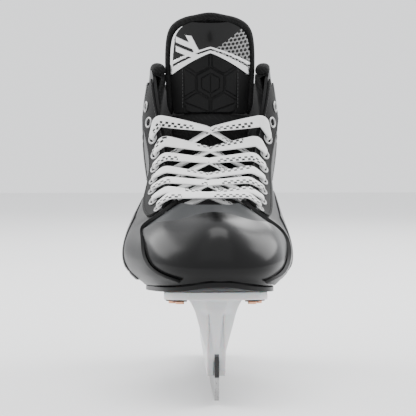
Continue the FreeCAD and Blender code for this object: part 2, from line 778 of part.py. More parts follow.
def holder():
    part = body("holder")
    ends = "[holder_length] / 2"
    drop = "[runner_drop]"
    top = "([runner_drop] + [rail_height])"
    stand = "[stand_height] / 69"
    side = sketch_on(part, "YZ_Plane", "holder_side")
    outline(side, [(f"-({ends} - 8)", drop), (f"{ends} - 8", drop), (f"{ends} - 2", f"{drop} + 5"),
                   (f"{ends}", f"{top} + 2"), (f"{ends}", f"66 * {stand}"), (f"64 * {LONG}", f"66 * {stand}"),
                   (f"72 * {LONG}", f"{top} + 6"), (f"80 * {LONG}", top), (f"-70 * {LONG}", top),
                   (f"-60 * {LONG}", f"{top} + 8"), (f"-50 * {LONG}", f"58 * {stand}"),
                   (f"-({ends} - 4)", f"58 * {stand}"), (f"-({ends})", f"{top} + 2"),
                   (f"-({ends} - 2)", f"{drop} + 5")])
    pad(part, side, "[rail_width]", True)
    for front, shape, name in ((True, FRONT_FLANGE, "front_flange"), (False, REAR_FLANGE, "rear_flange")):
        plate = tilted_sketch(part, name, front, "-[flange_wall]")
        outline(plate, both_halves(shape))
        pad(part, plate, "[flange_wall]")
    doc.recompute()
    tower(part, FRONT_TOWER, FRONT_FOOT, "front_tower")
    doc.recompute()
    tower(part, REAR_TOWER, REAR_FOOT, "rear_tower")
    doc.recompute()
    for front, name, y0, y1, depth in ((True, "front_core", 8, 68, 17), (False, "rear_core", 4, 62, 22)):
        core = tilted_sketch(part, name, front)
        width = 14 if front else 13
        outline(core, both_halves([(width / 2, y0), (width / 2, y1)]))
        pocket(part, core, f"{depth}")
        doc.recompute()
    for front, name in ((True, "front_rivet_holes"), (False, "rear_rivet_holes")):
        holes = tilted_sketch(part, name, front)
        circles(holes, "[rivet_radius] + [rivet_gap]", rivet_centres(front))
        pocket(part, holes, "[flange_wall] + 3")
        doc.recompute()
    slot = sketch_on(part, "XY_Plane", "runner_slot")
    half = "([runner_wall] / 2 + [slot_gap])"
    outline(slot, [(half, "-150 - [runner_length] / 10"), (half, "150 + [runner_length] / 10"),
                   (f"-{half}", "150 + [runner_length] / 10"), (f"-{half}", "-150 - [runner_length] / 10")])
    pocket(part, slot, "[runner_drop] + [slot_depth]", False, True)
    doc.recompute()
    across = sketch_on(part, "YZ_Plane", "screw_holes")
    circles(across, "[screw_radius] + 0.1", screw_centres())
    pocket(part, across, "[rail_width] + 10", True)
    doc.recompute()
    heads = sketch_on(part, "YZ_Plane", "head_recesses", "-[rail_width] / 2 - 2")
    circles(heads, "[screw_head_radius] + 0.25", screw_centres())
    pocket(part, heads, "[screw_head_height] + 2.15", False, True)
    doc.recompute()
    nuts = sketch_on(part, "YZ_Plane", "nut_recesses", "[rail_width] / 2 + 2")
    for y, z in screw_centres():
        outline(nuts, hexagon(y, z, "([nut_flats] / 2 + 0.15)"))
    pocket(part, nuts, "[nut_height] + 2.15")
    doc.recompute()
    return part


def screw_centres():
    return [(f"{sign}[screw_span] / 2", "[runner_drop] + 5.5") for sign in ("", "-")]


def hexagon(y, z, inner):
    """A hexagon's corners round a centre, from its inner radius."""
    points = []
    for k in range(6):
        angle = math.radians(60 * k + 30)
        across = round(math.cos(angle) / math.cos(math.pi / 6), 6)
        up = round(math.sin(angle) / math.cos(math.pi / 6), 6)
        points.append((f"{y} + {inner} * ({across})", f"{z} + {inner} * ({up})"))
    return points


# ---------------------------------------------------------------- runner and its screws
def runner():
    """A steel blade: coated above, with a polished band below, ground to one long arc."""
    part = doc.addObject("PartDesign::Body", "runner_blank")
    end = "[runner_length] / 2"
    top = "[runner_drop] + [slot_depth] - 0.3"
    band = "[runner_band]"
    side = sketch_on(part, "YZ_Plane", "runner_side")
    outline(side, [(f"-({end} - 14)", "-1"), (f"{end} - 10", "-1"), (f"{end} - 2", "6"), (end, "16"),
                   (f"{end} - 0.5", "25"), (f"{end} - 4", "30"), (f"{end} - 9", "31"), (f"{end} - 14", top),
                   (f"-({end} - 14)", top), (f"-({end} - 10.5)", "31.5"), (f"-({end} - 6)", "33.5"),
                   (f"-({end} - 2)", "32.5"), (f"-({end})", "28"), (f"-({end})", "18"),
                   (f"-({end} - 1.5)", "10"), (f"-({end} - 6)", "3.5")])
    pad(part, side, "[runner_wall] - 2 * [runner_step]", True)
    lower = sketch_on(part, "YZ_Plane", "runner_lower")
    outline(lower, [(f"-({end} - 14)", "-1"), (f"{end} - 10", "-1"), (f"{end} - 2", "6"),
                    (f"{end} - 1.4", band), (f"-({end} - 2.2)", band), (f"-({end} - 6)", "3.5")])
    pad(part, lower, "[runner_wall]", True)
    doc.recompute()
    holes = sketch_on(part, "YZ_Plane", "runner_holes")
    circles(holes, "[screw_radius] + 0.1", screw_centres())
    pocket(part, holes, "[runner_wall] + 2", True)
    rocker = doc.addObject("Part::Cylinder", "rocker")
    rocker.setExpression("Radius", bound("[rocker_radius]"))
    rocker.Height = 20
    rocker.Placement = Placement(Vector(-10, 0, size("rocker_radius")), Rotation(Vector(0, 1, 0), 90))
    rocker.setExpression("Placement.Base.z", bound("[rocker_radius]"))
    blade = doc.addObject("Part::Common", "runner")
    blade.Base = part
    blade.Tool = rocker
    blade.Label = "runner"
    NODES.append(blade)


def screws():
    part = body("runner_screws")
    face = "(-[rail_width] / 2 + 0.1)"
    heads = sketch_on(part, "YZ_Plane", "screw_heads", face)
    circles(heads, "[screw_head_radius]", screw_centres())
    pad(part, heads, "[screw_head_height]")
    shanks = sketch_on(part, "YZ_Plane", "screw_shanks", face + " + 0.5")
    circles(shanks, "[screw_radius]", screw_centres())
    pad(part, shanks, "[rail_width] - 1.1")
    doc.recompute()
    sockets = sketch_on(part, "YZ_Plane", "screw_sockets", face)
    for y, z in screw_centres():
        outline(sockets, hexagon(y, z, "[screw_radius] * 0.6"))
    pocket(part, sockets, "[screw_head_height] * 0.7", False, True)


def nuts():
    part = body("runner_nuts")
    base = sketch_on(part, "YZ_Plane", "nut_faces", "[rail_width] / 2 - [nut_height] - 0.05")
    for y, z in screw_centres():
        outline(base, hexagon(y, z, "([nut_flats] / 2)"))
    circles(base, "[screw_radius] + [screw_gap]", screw_centres())
    pad(part, base, "[nut_height]")


# ---------------------------------------------------------------- rivets
BOARD_TOP = "([outsole_wall] + [glue_gap] + [board_wall] + 0.15)"


def rivet_set(front):
    """Copper rivets through flange, outsole and board, with black washers below and steel ones above."""
    where = "front" if front else "rear"
    centres = rivet_centres(front)
    low = "(-[flange_wall] - [rivet_gap] - [cup_wall] - 0.1)"
    high = f"({BOARD_TOP} + [rivet_gap] + [rivet_washer_wall] + 0.1)"
    rivets = body(f"rivets_{where}")
    heads = sketch_on(rivets, "XY_Plane", f"{where}_rivet_heads", f"{low} - [rivet_head_height]")
    circles(heads, "[rivet_head_radius]", centres)
    pad(rivets, heads, "[rivet_head_height]")
    shafts = sketch_on(rivets, "XY_Plane", f"{where}_rivet_shafts", f"{low} - 0.5")
    circles(shafts, "[rivet_radius]", centres)
    pad(rivets, shafts, f"{high} - {low} + 1")
    tops = sketch_on(rivets, "XY_Plane", f"{where}_rivet_tops", high)
    circles(tops, "[rivet_head_radius]", centres)
    pad(rivets, tops, "[rivet_head_height] * 0.7")
    cups = body(f"rivet_cups_{where}")
    ring = sketch_on(cups, "XY_Plane", f"{where}_cup_faces", f"{low} + 0.1")
    circles(ring, "[cup_radius]", centres)
    circles(ring, "[rivet_radius] + [rivet_gap]", centres)
    pad(cups, ring, "[cup_wall]")
    washers = body(f"rivet_washers_{where}")
    ring = sketch_on(washers, "XY_Plane", f"{where}_washer_faces", f"{BOARD_TOP} + [rivet_gap]")
    circles(ring, "[rivet_washer_radius]", centres)
    circles(ring, "[rivet_radius] + [rivet_gap]", centres)
    pad(washers, ring, "[rivet_washer_wall]")
    for part in (rivets, cups, washers):
        part.Placement = flange_frame(front)


def riveted(shape):
    """A sole layer with its rivet holes."""
    tools = []
    for front in (True, False):
        frame = flange_frame(front)
        axis = frame.Rotation.multVec(Vector(0, 0, 1))
        for a, b in rivet_centres(front):
            base = frame.multVec(Vector(measured(a), measured(b), -5))
            tools.append(Part.makeCylinder(size("rivet_radius") + size("rivet_gap"), 20, base, axis))
    return shape.cut(tools)


# ---------------------------------------------------------------- lace
LACED = 7                      # eyelets each side that the lace goes through
TOP_RISE = 0.75                # how much higher the top row lies over the facing, in eyelets
LACE = size("lace_radius")
OVER = GAP + size("facing_wall") + RIM_GAP + size("eyelet_rim_height") + LACE + 0.9
UNDER = -(QUARTER + ROLL + LACE + 0.8)


def lace_stop(k, side, height):
    base, axis = eyelet_axis(k, side)
    return base + axis * height


def over_edge(k, side, height):
    """Where a strand passes over the facing's edge, beside eyelet k; places between eyelets are allowed."""
    low, share = int(k), k - int(k)
    s = PLACES[low] + (PLACES[min(low + 1, EYELETS - 1)] - PLACES[low]) * share
    s = s if side < 0 else mirrored(s)
    up = outward(s, LEVELS)
    rise = Vector(0, up.y, up.z).normalize()
    return wall(s, LEVELS - 0.02) + up * (GAP + size("facing_wall")) + rise * (LACE + height)


def lace_route(side):
    """Half the lace, from the middle of its bottom row to the tail's end, going down first on one side."""
    points = [over_edge(0.0, side, 1.6), lace_stop(0, side, OVER), lace_stop(0, side, UNDER)]
    here = side
    for k in range(LACED - 1):
        there = -here
        rise = TOP_RISE * (k / (LACED - 2)) ** 2
        middle = (over_edge(k + 0.3, here, -4.5) + over_edge(k + 0.8 + rise, there, 0.6)) * 0.5
        lift = 0.0 if side * here > 0 else 3.3
        points.append(middle + Vector(0, -0.35, 0.9).normalize() * (lift - 0.2 + rise * 2))
        points.append(over_edge(k + 0.86 + rise, there, 1.6))
        points.append(lace_stop(k + 1, there, OVER))
        points.append(lace_stop(k + 1, there, UNDER))
        here = there
    return points + tail(here)


# The tail's stops inside the boot, as half width, y and z: from the last eyelet down to the ball of the foot.
TAIL_STOPS = [(34.5, 21, 160), (36, 16, 145), (38, 0, 129), (42, -18, 113), (44, -38, 101)]


def tail(side):
    return [placed(half, y, z, side) for half, y, z in TAIL_STOPS]


def rounded_path(points, radius):
    """Straight runs through points joined by tangent arcs no larger than radius."""
    edges, start = [], points[0]
    for before, corner, after in zip(points, points[1:], points[2:]):
        a, b = (before - corner), (after - corner)
        turn = math.pi - a.getAngle(b)
        reach = min(radius * math.tan(turn / 2), 0.45 * min(a.Length, b.Length))
        bend = reach / math.tan(turn / 2)
        a, b = a.normalize(), b.normalize()
        inward = (a + b).normalize()
        first, last = corner + a * reach, corner + b * reach
        middle = corner + inward * (bend / math.cos(turn / 2) - bend)
        edges += [Part.LineSegment(start, first).toShape(), Part.Arc(first, middle, last).toShape()]
        start = last
    edges.append(Part.LineSegment(start, points[-1]).toShape())
    return Part.Wire(edges)


def lace():
    """The whole lace as one tube, tail to tail, and its two tips."""
    left, right = lace_route(-1), lace_route(1)
    points = left[::-1] + right
    path = rounded_path(points, 2.2)
    start = path.Edges[0].valueAt(path.Edges[0].FirstParameter)
    direction = path.Edges[0].tangentAt(path.Edges[0].FirstParameter)
    profile = Part.Wire(Part.makeCircle(LACE, start, direction))
    solid = path.makePipeShell([profile], True, True)
    ratio = solid.Volume / (math.pi * LACE ** 2 * path.Length)
    print("lace length", round(path.Length, 1), "volume ratio", round(ratio, 4))
    tips = []
    for end, before in ((points[0], points[1]), (points[-1], points[-2])):
        axis = (end - before).normalize()
        tips.append(Part.makeCylinder(LACE + 0.15, size("aglet_length"), end, axis))
    return solid, Part.makeCompound(tips)


# ---------------------------------------------------------------- all the pieces
add("quarter_lateral", drilled(quarter(-1), -1))
add("quarter_medial", drilled(quarter(1), 1))
add("toe_cap", toe_cap())
add("toe_lining", toe_lining())
add("liner_lateral", liner(-1))
add("liner_medial", liner(1))
add("ankle_pad_lateral", ankle_pad(-1))
add("ankle_pad_medial", ankle_pad(1))
add("facing_lateral", drilled(facing(-1), -1))
add("facing_medial", drilled(facing(1), 1))
add("eyelets_lateral", eyelets(-1))
add("eyelets_medial", eyelets(1))
add("side_panel_lateral", panel(-1))
add("side_panel_medial", panel(1))
add("lower_panel_lateral", strip(-1))
add("lower_panel_medial", strip(1))
add("heel_strip", heel_strip())
add("collar_binding_lateral", collar_binding(-1))
add("collar_binding_medial", collar_binding(1))
add("outsole", riveted(outsole()))
add("insole_board", riveted(insole_board()))
add("footbed", footbed())
add("tongue_lower", tongue_lower())
add("tongue_foam", tongue_foam())
add("tongue_guard", tongue_guard())
add("tongue_panel", tongue_panel())
add("tongue_felt", tongue_felt())
add("tongue_binding", tongue_binding())
add("tendon_guard", tendon_guard())
add("tendon_pad", tendon_pad())
lace_solid, lace_tips = lace()
add("lace", lace_solid)
add("lace_tips", lace_tips)
holder()
runner()
screws()
nuts()
rivet_set(True)
rivet_set(False)
doc.removeObject(gauge.Name)
doc.recompute()

failed = [obj.Name for obj in doc.Objects if "Invalid" in obj.State or "Error" in obj.State]
failed += [obj.Label for obj in NODES if obj.Shape.isNull() or not obj.Shape.isValid()]
if failed:
    raise RuntimeError("failed: " + ", ".join(failed))
os.makedirs("parts", exist_ok=True)
for obj in NODES:
    obj.Shape.exportStep(f"parts/{obj.Label}.step")
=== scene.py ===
"""The hockey skate's looks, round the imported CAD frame. Metres, +Z up, toe towards -Y, medial side +X."""
import math

import bmesh
import bpy
import numpy as np
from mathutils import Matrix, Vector


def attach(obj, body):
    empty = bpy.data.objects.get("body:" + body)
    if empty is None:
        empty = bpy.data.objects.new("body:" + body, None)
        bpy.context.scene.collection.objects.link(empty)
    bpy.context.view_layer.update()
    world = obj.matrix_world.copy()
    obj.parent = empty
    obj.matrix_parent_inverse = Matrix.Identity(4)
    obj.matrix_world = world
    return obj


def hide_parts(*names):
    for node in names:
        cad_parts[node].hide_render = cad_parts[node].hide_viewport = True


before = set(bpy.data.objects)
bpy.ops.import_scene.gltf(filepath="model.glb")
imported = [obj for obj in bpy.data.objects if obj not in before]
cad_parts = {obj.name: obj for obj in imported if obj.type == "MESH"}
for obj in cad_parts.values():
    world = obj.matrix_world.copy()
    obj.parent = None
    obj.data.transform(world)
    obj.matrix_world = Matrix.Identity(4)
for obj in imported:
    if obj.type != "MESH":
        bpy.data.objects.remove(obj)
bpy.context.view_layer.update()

# ------------------------------------------------------------------ the boot's shape, in millimetres
# Half outlines of the boot from the toe to the heel, each from the sole up: half width, place along, height.
SECTIONS = [
    [(0, -140.8, 82.5), (0, -144.2, 92), (0, -137.2, 108.7),
     (0, -122.3, 120.4), (0, -98.8, 127.1), (0, -75.6, 132.4)],
    [(21.7, -133.2, 81), (28, -133.6, 91.5), (26.3, -125.6, 106.9),
     (19.2, -111.2, 118.3), (11.6, -92.8, 126.1), (6.3, -74.6, 132.4)],
    [(36.1, -115, 77.8), (44, -113, 90.5), (41.8, -107.5, 106),
     (32.7, -99, 116.7), (22, -86.7, 125), (13.5, -72.5, 132.5)],
    [(41, -93, 75.6), (51, -91, 88.5), (49.5, -86, 105),
     (41, -80, 117.5), (30, -74, 126.5), (20, -69, 132.8)],
    [(43.5, -66, 73.6), (55.2, -64, 85.5), (57, -60, 100),
     (50.5, -58, 112), (39.3, -59, 120.5), (26, -61, 132.5)],
    [(43.5, -44, 72.2), (54.2, -42, 82.5), (57, -40, 97.5),
     (53, -39, 113), (43, -40, 127), (27.8, -42, 139.5)],
    [(40, -20, 71.6), (49.2, -19, 82), (53, -18, 99), (50, -17, 119.5), (42.5, -18, 138.5), (29.8, -18, 151)],
    [(36, 4, 73.7), (43.5, 5, 86), (46.5, 6, 106), (45.5, 6, 132), (42, 4, 156.5), (32, 2, 168)],
    [(34, 26, 76.4), (40, 27, 90), (43, 27, 113), (45, 25, 147), (46, 21, 176.5), (38, 13, 191)],
    [(33, 46, 79.3), (38.5, 47, 93), (42.5, 47, 118), (47.5, 46, 154), (48.5, 41, 189), (42, 25, 217)],
    [(33, 66, 80.1), (38.5, 68, 95), (42.5, 68, 120), (47.5, 68, 155), (48, 64, 188), (44.5, 50, 221)],
    [(33, 86, 80.9), (38, 90, 96), (41, 91, 120), (43, 91, 153), (44, 88, 184), (44, 82, 210)],
    [(31, 106, 81.7), (35, 113, 97), (35.5, 115, 119), (33.5, 112, 152), (34, 108, 182), (35.5, 106, 206)],
    [(18.5, 124, 82.5), (21, 134, 97), (21.5, 136.5, 118),
     (19, 130, 150), (18.5, 124.5, 182), (19.5, 122.5, 206)],
    [(0, 130, 82.7), (0, 140, 97), (0, 142, 117), (0, 135.5, 149), (0, 129.5, 181), (0, 127.5, 206)],
]
LEVELS, HEEL, RING_START = 5, 14, 5     # top level, place of the heel, columns repeated ahead of the toe
SIDES = ((-1, "lateral"), (1, "medial"))
# The tongue's middle line from its toe end up: place along, height, half width, set-back of its sides.
TONGUE_LINE = np.array([
    (-82, 114.5, 19, 3.5), (-64, 120.5, 23.5, 6), (-42, 130, 27, 8.5), (-18, 142.5, 28, 10),
    (1.5, 158, 28.6, 12), (12, 178, 29.5, 14), (15, 199, 31, 15.5), (14.5, 217, 32.2, 16.5),
    (11.5, 233.5, 31.9, 15), (8, 243.5, 29.4, 11.5), (5.2, 250, 24.6, 7.5), (3.4, 254.6, 17.2, 4),
    (2.5, 257.3, 8.2, 1.2)])
TONGUE_FLEX = 5.6            # place on the middle line where the tongue's top folds
SHELL, GAP, TOE_OUT = 2.4, 0.3, 2.9     # shell wall, gap between layers, depth of the toe cap's outer face
FACING_WALL, LINER_WALL, TOE_WALL = 1.2, 2.6, 2.8


def centre_shift(y):
    """How far the boot's middle line is off to one side, for a right foot."""
    return -4.0 * np.exp(-(((y + 45) / 42.0) ** 2)) + 2.5 / (1 + np.exp((y + 118) / 9.0))


def placed(half, y, z, side=1):
    """A point from its distance out from the middle line, on the medial side or with -1 the lateral side."""
    return np.array([side * half + centre_shift(y), y, z], float)


def second_matrix(n):
    """Takes n values one apart to the natural spline's second derivatives there."""
    a, b = np.eye(n), np.zeros((n, n))
    for i in range(1, n - 1):
        a[i, i - 1:i + 2] = (1, 4, 1)
        b[i, i - 1:i + 2] = (6, -12, 6)
    return np.linalg.solve(a, b)


def basis(n, at):
    """The natural spline's weights on n values, one row for each place in at."""
    second = second_matrix(n)
    i = np.clip(at.astype(int), 0, n - 2)
    b = at - i
    a = 1 - b
    rows = np.zeros((len(at), n))
    k = np.arange(len(at))
    rows[k, i] += a
    rows[k, i + 1] += b
    return rows + ((a ** 3 - a)[:, None] * second[i] + (b ** 3 - b)[:, None] * second[i + 1]) / 6


def ring():
    """The sections as one loop of columns, with some repeated so that the spline runs on past the toe."""
    lateral = [[placed(*p, side=-1) for p in section] for section in SECTIONS]
    medial = [[placed(*p) for p in section] for section in SECTIONS]
    return np.array(medial[5:0:-1] + lateral + medial[-2:0:-1] + lateral[:6])


RING = ring()


def on_wall(s, t):
    return np.einsum("ni,nj,ijk->nk", basis(len(RING), s + RING_START), basis(LEVELS + 1, t), RING)


def unit(v):
    return v / np.maximum(np.linalg.norm(v, axis=-1, keepdims=True), 1e-9)


def outward(s, t):
    """The direction out of the wall at places s and levels t."""
    step = 0.02
    t0, t1 = np.maximum(t - step, 0), np.minimum(t + step, LEVELS)
    along = on_wall(s + step, t) - on_wall(s - step, t)
    up = on_wall(s, t1) - on_wall(s, t0)
    return unit(np.cross(up, along))


def wall(s, t, depth=0.0):
    """Points of the quarters' outer face at places s and levels t, moved inward by depth."""
    s, t, depth = np.broadcast_arrays(np.asarray(s, float), np.asarray(t, float), np.asarray(depth, float))
    flat = on_wall(s.ravel(), t.ravel()) - outward(s.ravel(), t.ravel()) * depth.ravel()[:, None]
    return flat.reshape(s.shape + (3,))


def smooth(low, high, value):
    """0 below low, 1 above high, and an even rise between."""
    x = np.clip((value - low) / (high - low), 0, 1)
    return x * x * (3 - 2 * x)


def mirrored(s):
    """The place on the other side of the heel."""
    return 2 * HEEL - s


TONGUE_LAST = len(TONGUE_LINE) - 1


def tongue(u, v, depth=0.0):
    """Points of the tongue's outer face at places u up it and v across it, moved inward by depth."""
    u, v, depth = np.broadcast_arrays(np.asarray(u, float), np.asarray(v, float), np.asarray(depth, float))
    shape, u, v, depth = u.shape, u.ravel(), v.ravel(), depth.ravel()
    line = basis(len(TONGUE_LINE), u) @ TONGUE_LINE
    ahead = basis(len(TONGUE_LINE), np.minimum(u + 0.02, TONGUE_LAST)) @ TONGUE_LINE
    behind = basis(len(TONGUE_LINE), np.maximum(u - 0.02, 0)) @ TONGUE_LINE
    zero = np.zeros_like(u)
    up = unit(np.stack([zero, ahead[:, 0] - behind[:, 0], ahead[:, 1] - behind[:, 1]], 1))
    back = np.stack([zero, up[:, 2], -up[:, 1]], 1)
    half, drop = line[:, 2], line[:, 3]
    x = v * half + centre_shift(line[:, 0])
    normal = unit(back - np.stack([2 * drop * v / np.maximum(half, 1), zero, zero], 1))
    middle = np.stack([x, line[:, 0], line[:, 1]], 1)
    return (middle + back * (drop * v * v)[:, None] + normal * depth[:, None]).reshape(shape + (3,))


# ------------------------------------------------------------------ meshes
def make(name, vertices, faces, uv=None, slots=None):
    """A mesh object from vertices in millimetres. slots gives each face's material index."""
    mesh = bpy.data.meshes.new(name)
    metres = np.asarray(vertices) / 1000.0
    mesh.from_pydata([tuple(point) for point in metres], [], [tuple(int(i) for i in face) for face in faces])
    if uv is not None:
        layer = mesh.uv_layers.new(name="UVMap")
        index = np.array([loop.vertex_index for loop in mesh.loops])
        layer.data.foreach_set("uv", np.asarray(uv, float)[index].ravel())
    mesh.polygons.foreach_set("use_smooth", [True] * len(mesh.polygons))
    if slots is not None:
        mesh.polygons.foreach_set("material_index", [int(k) for k in slots])
    mesh.update()
    piece = bpy.data.objects.new(name, mesh)
    bpy.context.scene.collection.objects.link(piece)
    return piece


def grid_faces(rows, columns, start=0, flip=False):
    faces = []
    for i in range(rows - 1):
        for j in range(columns - 1):
            a = start + i * columns + j
            face = (a, a + 1, a + columns + 1, a + columns)
            faces.append(face[::-1] if flip else face)
    return faces


def closed_slab(name, outer, inner, slots=None):
    """A closed solid between two matching grids of points (rows, columns, 3)."""
    rows, columns = outer.shape[:2]
    count = rows * columns
    vertices = np.concatenate([outer.reshape(-1, 3), inner.reshape(-1, 3)])
    faces = grid_faces(rows, columns) + grid_faces(rows, columns, count, True)
    border = [i * columns for i in range(rows)] + [(rows - 1) * columns + j for j in range(1, columns)]
    border += [i * columns + columns - 1 for i in range(rows - 2, -1, -1)] + list(range(columns - 2, 0, -1))
    for a, b in zip(border, border[1:] + border[:1]):
        faces.append((a, b, b + count, a + count))
    if slots is not None:
        slots = list(slots) + [0] * (len(faces) - len(slots))
    piece = make(name, vertices, faces, None, slots)
    tidy(piece)
    return piece


def face_middles(values):
    """The values of a grid at the middles of its faces."""
    return (values[:-1, :-1] + values[1:, 1:]) / 2


def tidy(piece, angle=50.0):
    """Faces turned outward, and edges sharper than an angle kept sharp."""
    mesh = piece.data
    work = bmesh.new()
    work.from_mesh(mesh)
    bmesh.ops.recalc_face_normals(work, faces=work.faces)
    limit = math.radians(angle)
    for edge in work.edges:
        edge.smooth = not (edge.is_manifold and edge.calc_face_angle(0.0) > limit)
    work.to_mesh(mesh)
    work.free()


def share_grid(rows, columns):
    """Shares 0 to 1 along and across a piece, on a grid."""
    return np.meshgrid(np.linspace(0, 1, rows), np.linspace(0, 1, columns), indexing="ij")


def fixed(value):
    """A function that gives one value everywhere."""
    return lambda *place: value + 0.0 * place[0]


def tube(name, path, sizes, normals, sides=12, power=2.0):
    """A tube along points, with a half width and half height at each and the direction of its height."""
    path, normals, sizes = np.asarray(path, float), np.asarray(normals, float), np.asarray(sizes, float)
    tangent = unit(np.gradient(path, axis=0))
    normal = unit(normals - tangent * np.sum(normals * tangent, 1, keepdims=True))
    across = np.cross(tangent, normal)
    angle = np.linspace(0, 2 * math.pi, sides, endpoint=False) + math.pi / sides
    c, s = np.cos(angle), np.sin(angle)
    c, s = np.sign(c) * np.abs(c) ** (2 / power), np.sign(s) * np.abs(s) ** (2 / power)
    ring_points = (path[:, None] + across[:, None] * (sizes[:, 0, None] * c)[:, :, None]
                   + normal[:, None] * (sizes[:, 1, None] * s)[:, :, None])
    count = len(path)
    faces = []
    for i in range(count - 1):
        for k in range(sides):
            m = (k + 1) % sides
            faces.append((i * sides + k, i * sides + m, (i + 1) * sides + m, (i + 1) * sides + k))
    faces.append(tuple(range(sides))[::-1])
    faces.append(tuple((count - 1) * sides + k for k in range(sides)))
    distance = np.concatenate([[0], np.cumsum(np.linalg.norm(np.diff(path, axis=0), axis=1))])
    uv = np.stack([np.repeat(distance[:, None], sides, 1), np.repeat(c[None], count, 0)], -1).reshape(-1, 2)
    piece = make(name, ring_points.reshape(-1, 3), faces, uv)
    tidy(piece, 70)
    return piece


def joined(name, pieces):
    """One object from several, keeping their faces."""
    work = bmesh.new()
    for piece in pieces:
        work.from_mesh(piece.data)
        bpy.data.meshes.remove(piece.data)
    mesh = bpy.data.meshes.new(name)
    work.to_mesh(mesh)
    work.free()
    result = bpy.data.objects.new(name, mesh)
    bpy.context.scene.collection.objects.link(result)
    return result


# ------------------------------------------------------------------ materials
class Nodes:
    """A small helper over a material's node tree."""

    def __init__(self, name):
        self.material = bpy.data.materials.new(name)
        self.material.use_nodes = True
        self.tree = self.material.node_tree
        self.shader = next(n for n in self.tree.nodes if n.type == "BSDF_PRINCIPLED")

    def new(self, kind, inputs=None, **settings):
        node = self.tree.nodes.new(kind)
        for key, value in settings.items():
            setattr(node, key, value)
        for key, value in (inputs or {}).items():
            self.feed(node.inputs[key], value)
        return node

    def feed(self, socket, value):
        if isinstance(value, bpy.types.NodeSocket):
            self.tree.links.new(value, socket)
        else:
            socket.default_value = value

    def math(self, operation, *values):
        node = self.new("ShaderNodeMath", operation=operation)
        for socket, value in zip(node.inputs, values):
            self.feed(socket, value)
        return node.outputs[0]

    def mix(self, factor, a, b):
        node = self.new("ShaderNodeMix", data_type="RGBA")
        self.feed(node.inputs[0], factor)
        self.feed(node.inputs[6], a)
        self.feed(node.inputs[7], b)
        return node.outputs[2]

    def coordinates(self, scale=1.0):
        source = self.new("ShaderNodeTexCoord").outputs["Object"]
        scale = scale if isinstance(scale, tuple) else (scale,) * 3
        return self.new("ShaderNodeMapping", {"Vector": source, "Scale": scale}).outputs[0]

    def noise(self, scale, detail=3.0, stretch=1.0):
        inputs = {"Vector": self.coordinates(stretch), "Scale": scale, "Detail": detail}
        return self.new("ShaderNodeTexNoise", inputs).outputs[0]

    def bump(self, height, strength, distance=0.0005):
        node = self.new("ShaderNodeBump", {"Strength": strength, "Distance": distance, "Height": height})
        self.feed(self.shader.inputs["Normal"], node.outputs[0])

    def surface(self, **inputs):
        for key, value in inputs.items():
            self.feed(self.shader.inputs[key.replace("_", " ")], value)


def rgb(value, tint=(1, 1, 1)):
    """A grey, tinted or not, as a colour socket takes it."""
    return tuple(value * k for k in tint) + (1.0,)


def plastic(name, dark, light, rough, grain=900.0, bump=0.05, coat=0.0, scale=35.0, shine=0.35, **more):
    """A moulded plastic: slightly uneven colour and roughness, with a fine grain."""
    m = Nodes(name)
    patches = m.noise(scale)
    colour = m.mix(patches, dark, light)
    roughness = m.math("MULTIPLY_ADD", patches, 0.12, rough - 0.06)
    m.surface(Base_Color=colour, Roughness=roughness, Coat_Weight=coat, Coat_Roughness=0.12,
              Specular_IOR_Level=shine, **more)
    m.bump(m.noise(grain, 2.0), bump, 0.0002)
    return m.material


def cloth(name, dark, light, weave=1400.0, bump=0.5, fuzz=0.02):
    """A woven or knitted cloth: crossing threads over an uneven base colour."""
    m = Nodes(name)
    one_way = {"Vector": m.coordinates(), "Scale": weave / 6.0, "Distortion": 1.5, "Detail": 1.0}
    other_way = {"Vector": m.coordinates((1, -1, 1)), "Scale": weave / 6.0, "Distortion": 1.5}
    waves = [m.new("ShaderNodeTexWave", way, bands_direction="DIAGONAL") for way in (one_way, other_way)]
    threads = m.math("MULTIPLY", *(wave.outputs[1] for wave in waves))
    uneven = m.math("MULTIPLY_ADD", m.noise(180.0), 0.5, m.math("MULTIPLY", threads, 0.5))
    m.surface(Base_Color=m.mix(uneven, dark, light), Roughness=0.9, Sheen_Weight=fuzz,
              Specular_IOR_Level=0.15)
    m.bump(m.math("ADD", threads, m.math("MULTIPLY", m.noise(700.0), 0.4)), bump, 0.0004)
    return m.material


def metal(name, colour, rough):
    """A metal with uneven roughness and fine marks."""
    m = Nodes(name)
    marks = m.noise(300.0, 4.0)
    m.surface(Base_Color=colour, Metallic=1.0, Roughness=m.math("MULTIPLY_ADD", marks, 0.2, rough - 0.1))
    m.bump(marks, 0.03, 0.0001)
    return m.material


BAND_TOP = 0.0188    # height above the ice where the runner's ground band ends, in metres


def runner_metal():
    """Ground steel below, black coated above, divided at the band's top edge."""
    m = Nodes("runner_steel")
    place = m.new("ShaderNodeTexCoord").outputs["Object"]
    height = m.new("ShaderNodeSeparateXYZ", {"Vector": place}).outputs[2]
    upper = m.math("GREATER_THAN", height, BAND_TOP)
    streaks = m.noise(900.0, 4.0, (1, 0.02, 1))
    steel = m.mix(streaks, rgb(0.23), rgb(0.42))
    metallic = m.math("SUBTRACT", 1.0, m.math("MULTIPLY", upper, 0.7))
    m.surface(Base_Color=m.mix(upper, steel, rgb(0.012)), Metallic=metallic,
              Roughness=m.math("MULTIPLY_ADD", streaks, 0.15, 0.22))
    m.bump(streaks, 0.05, 0.0001)
    return m.material


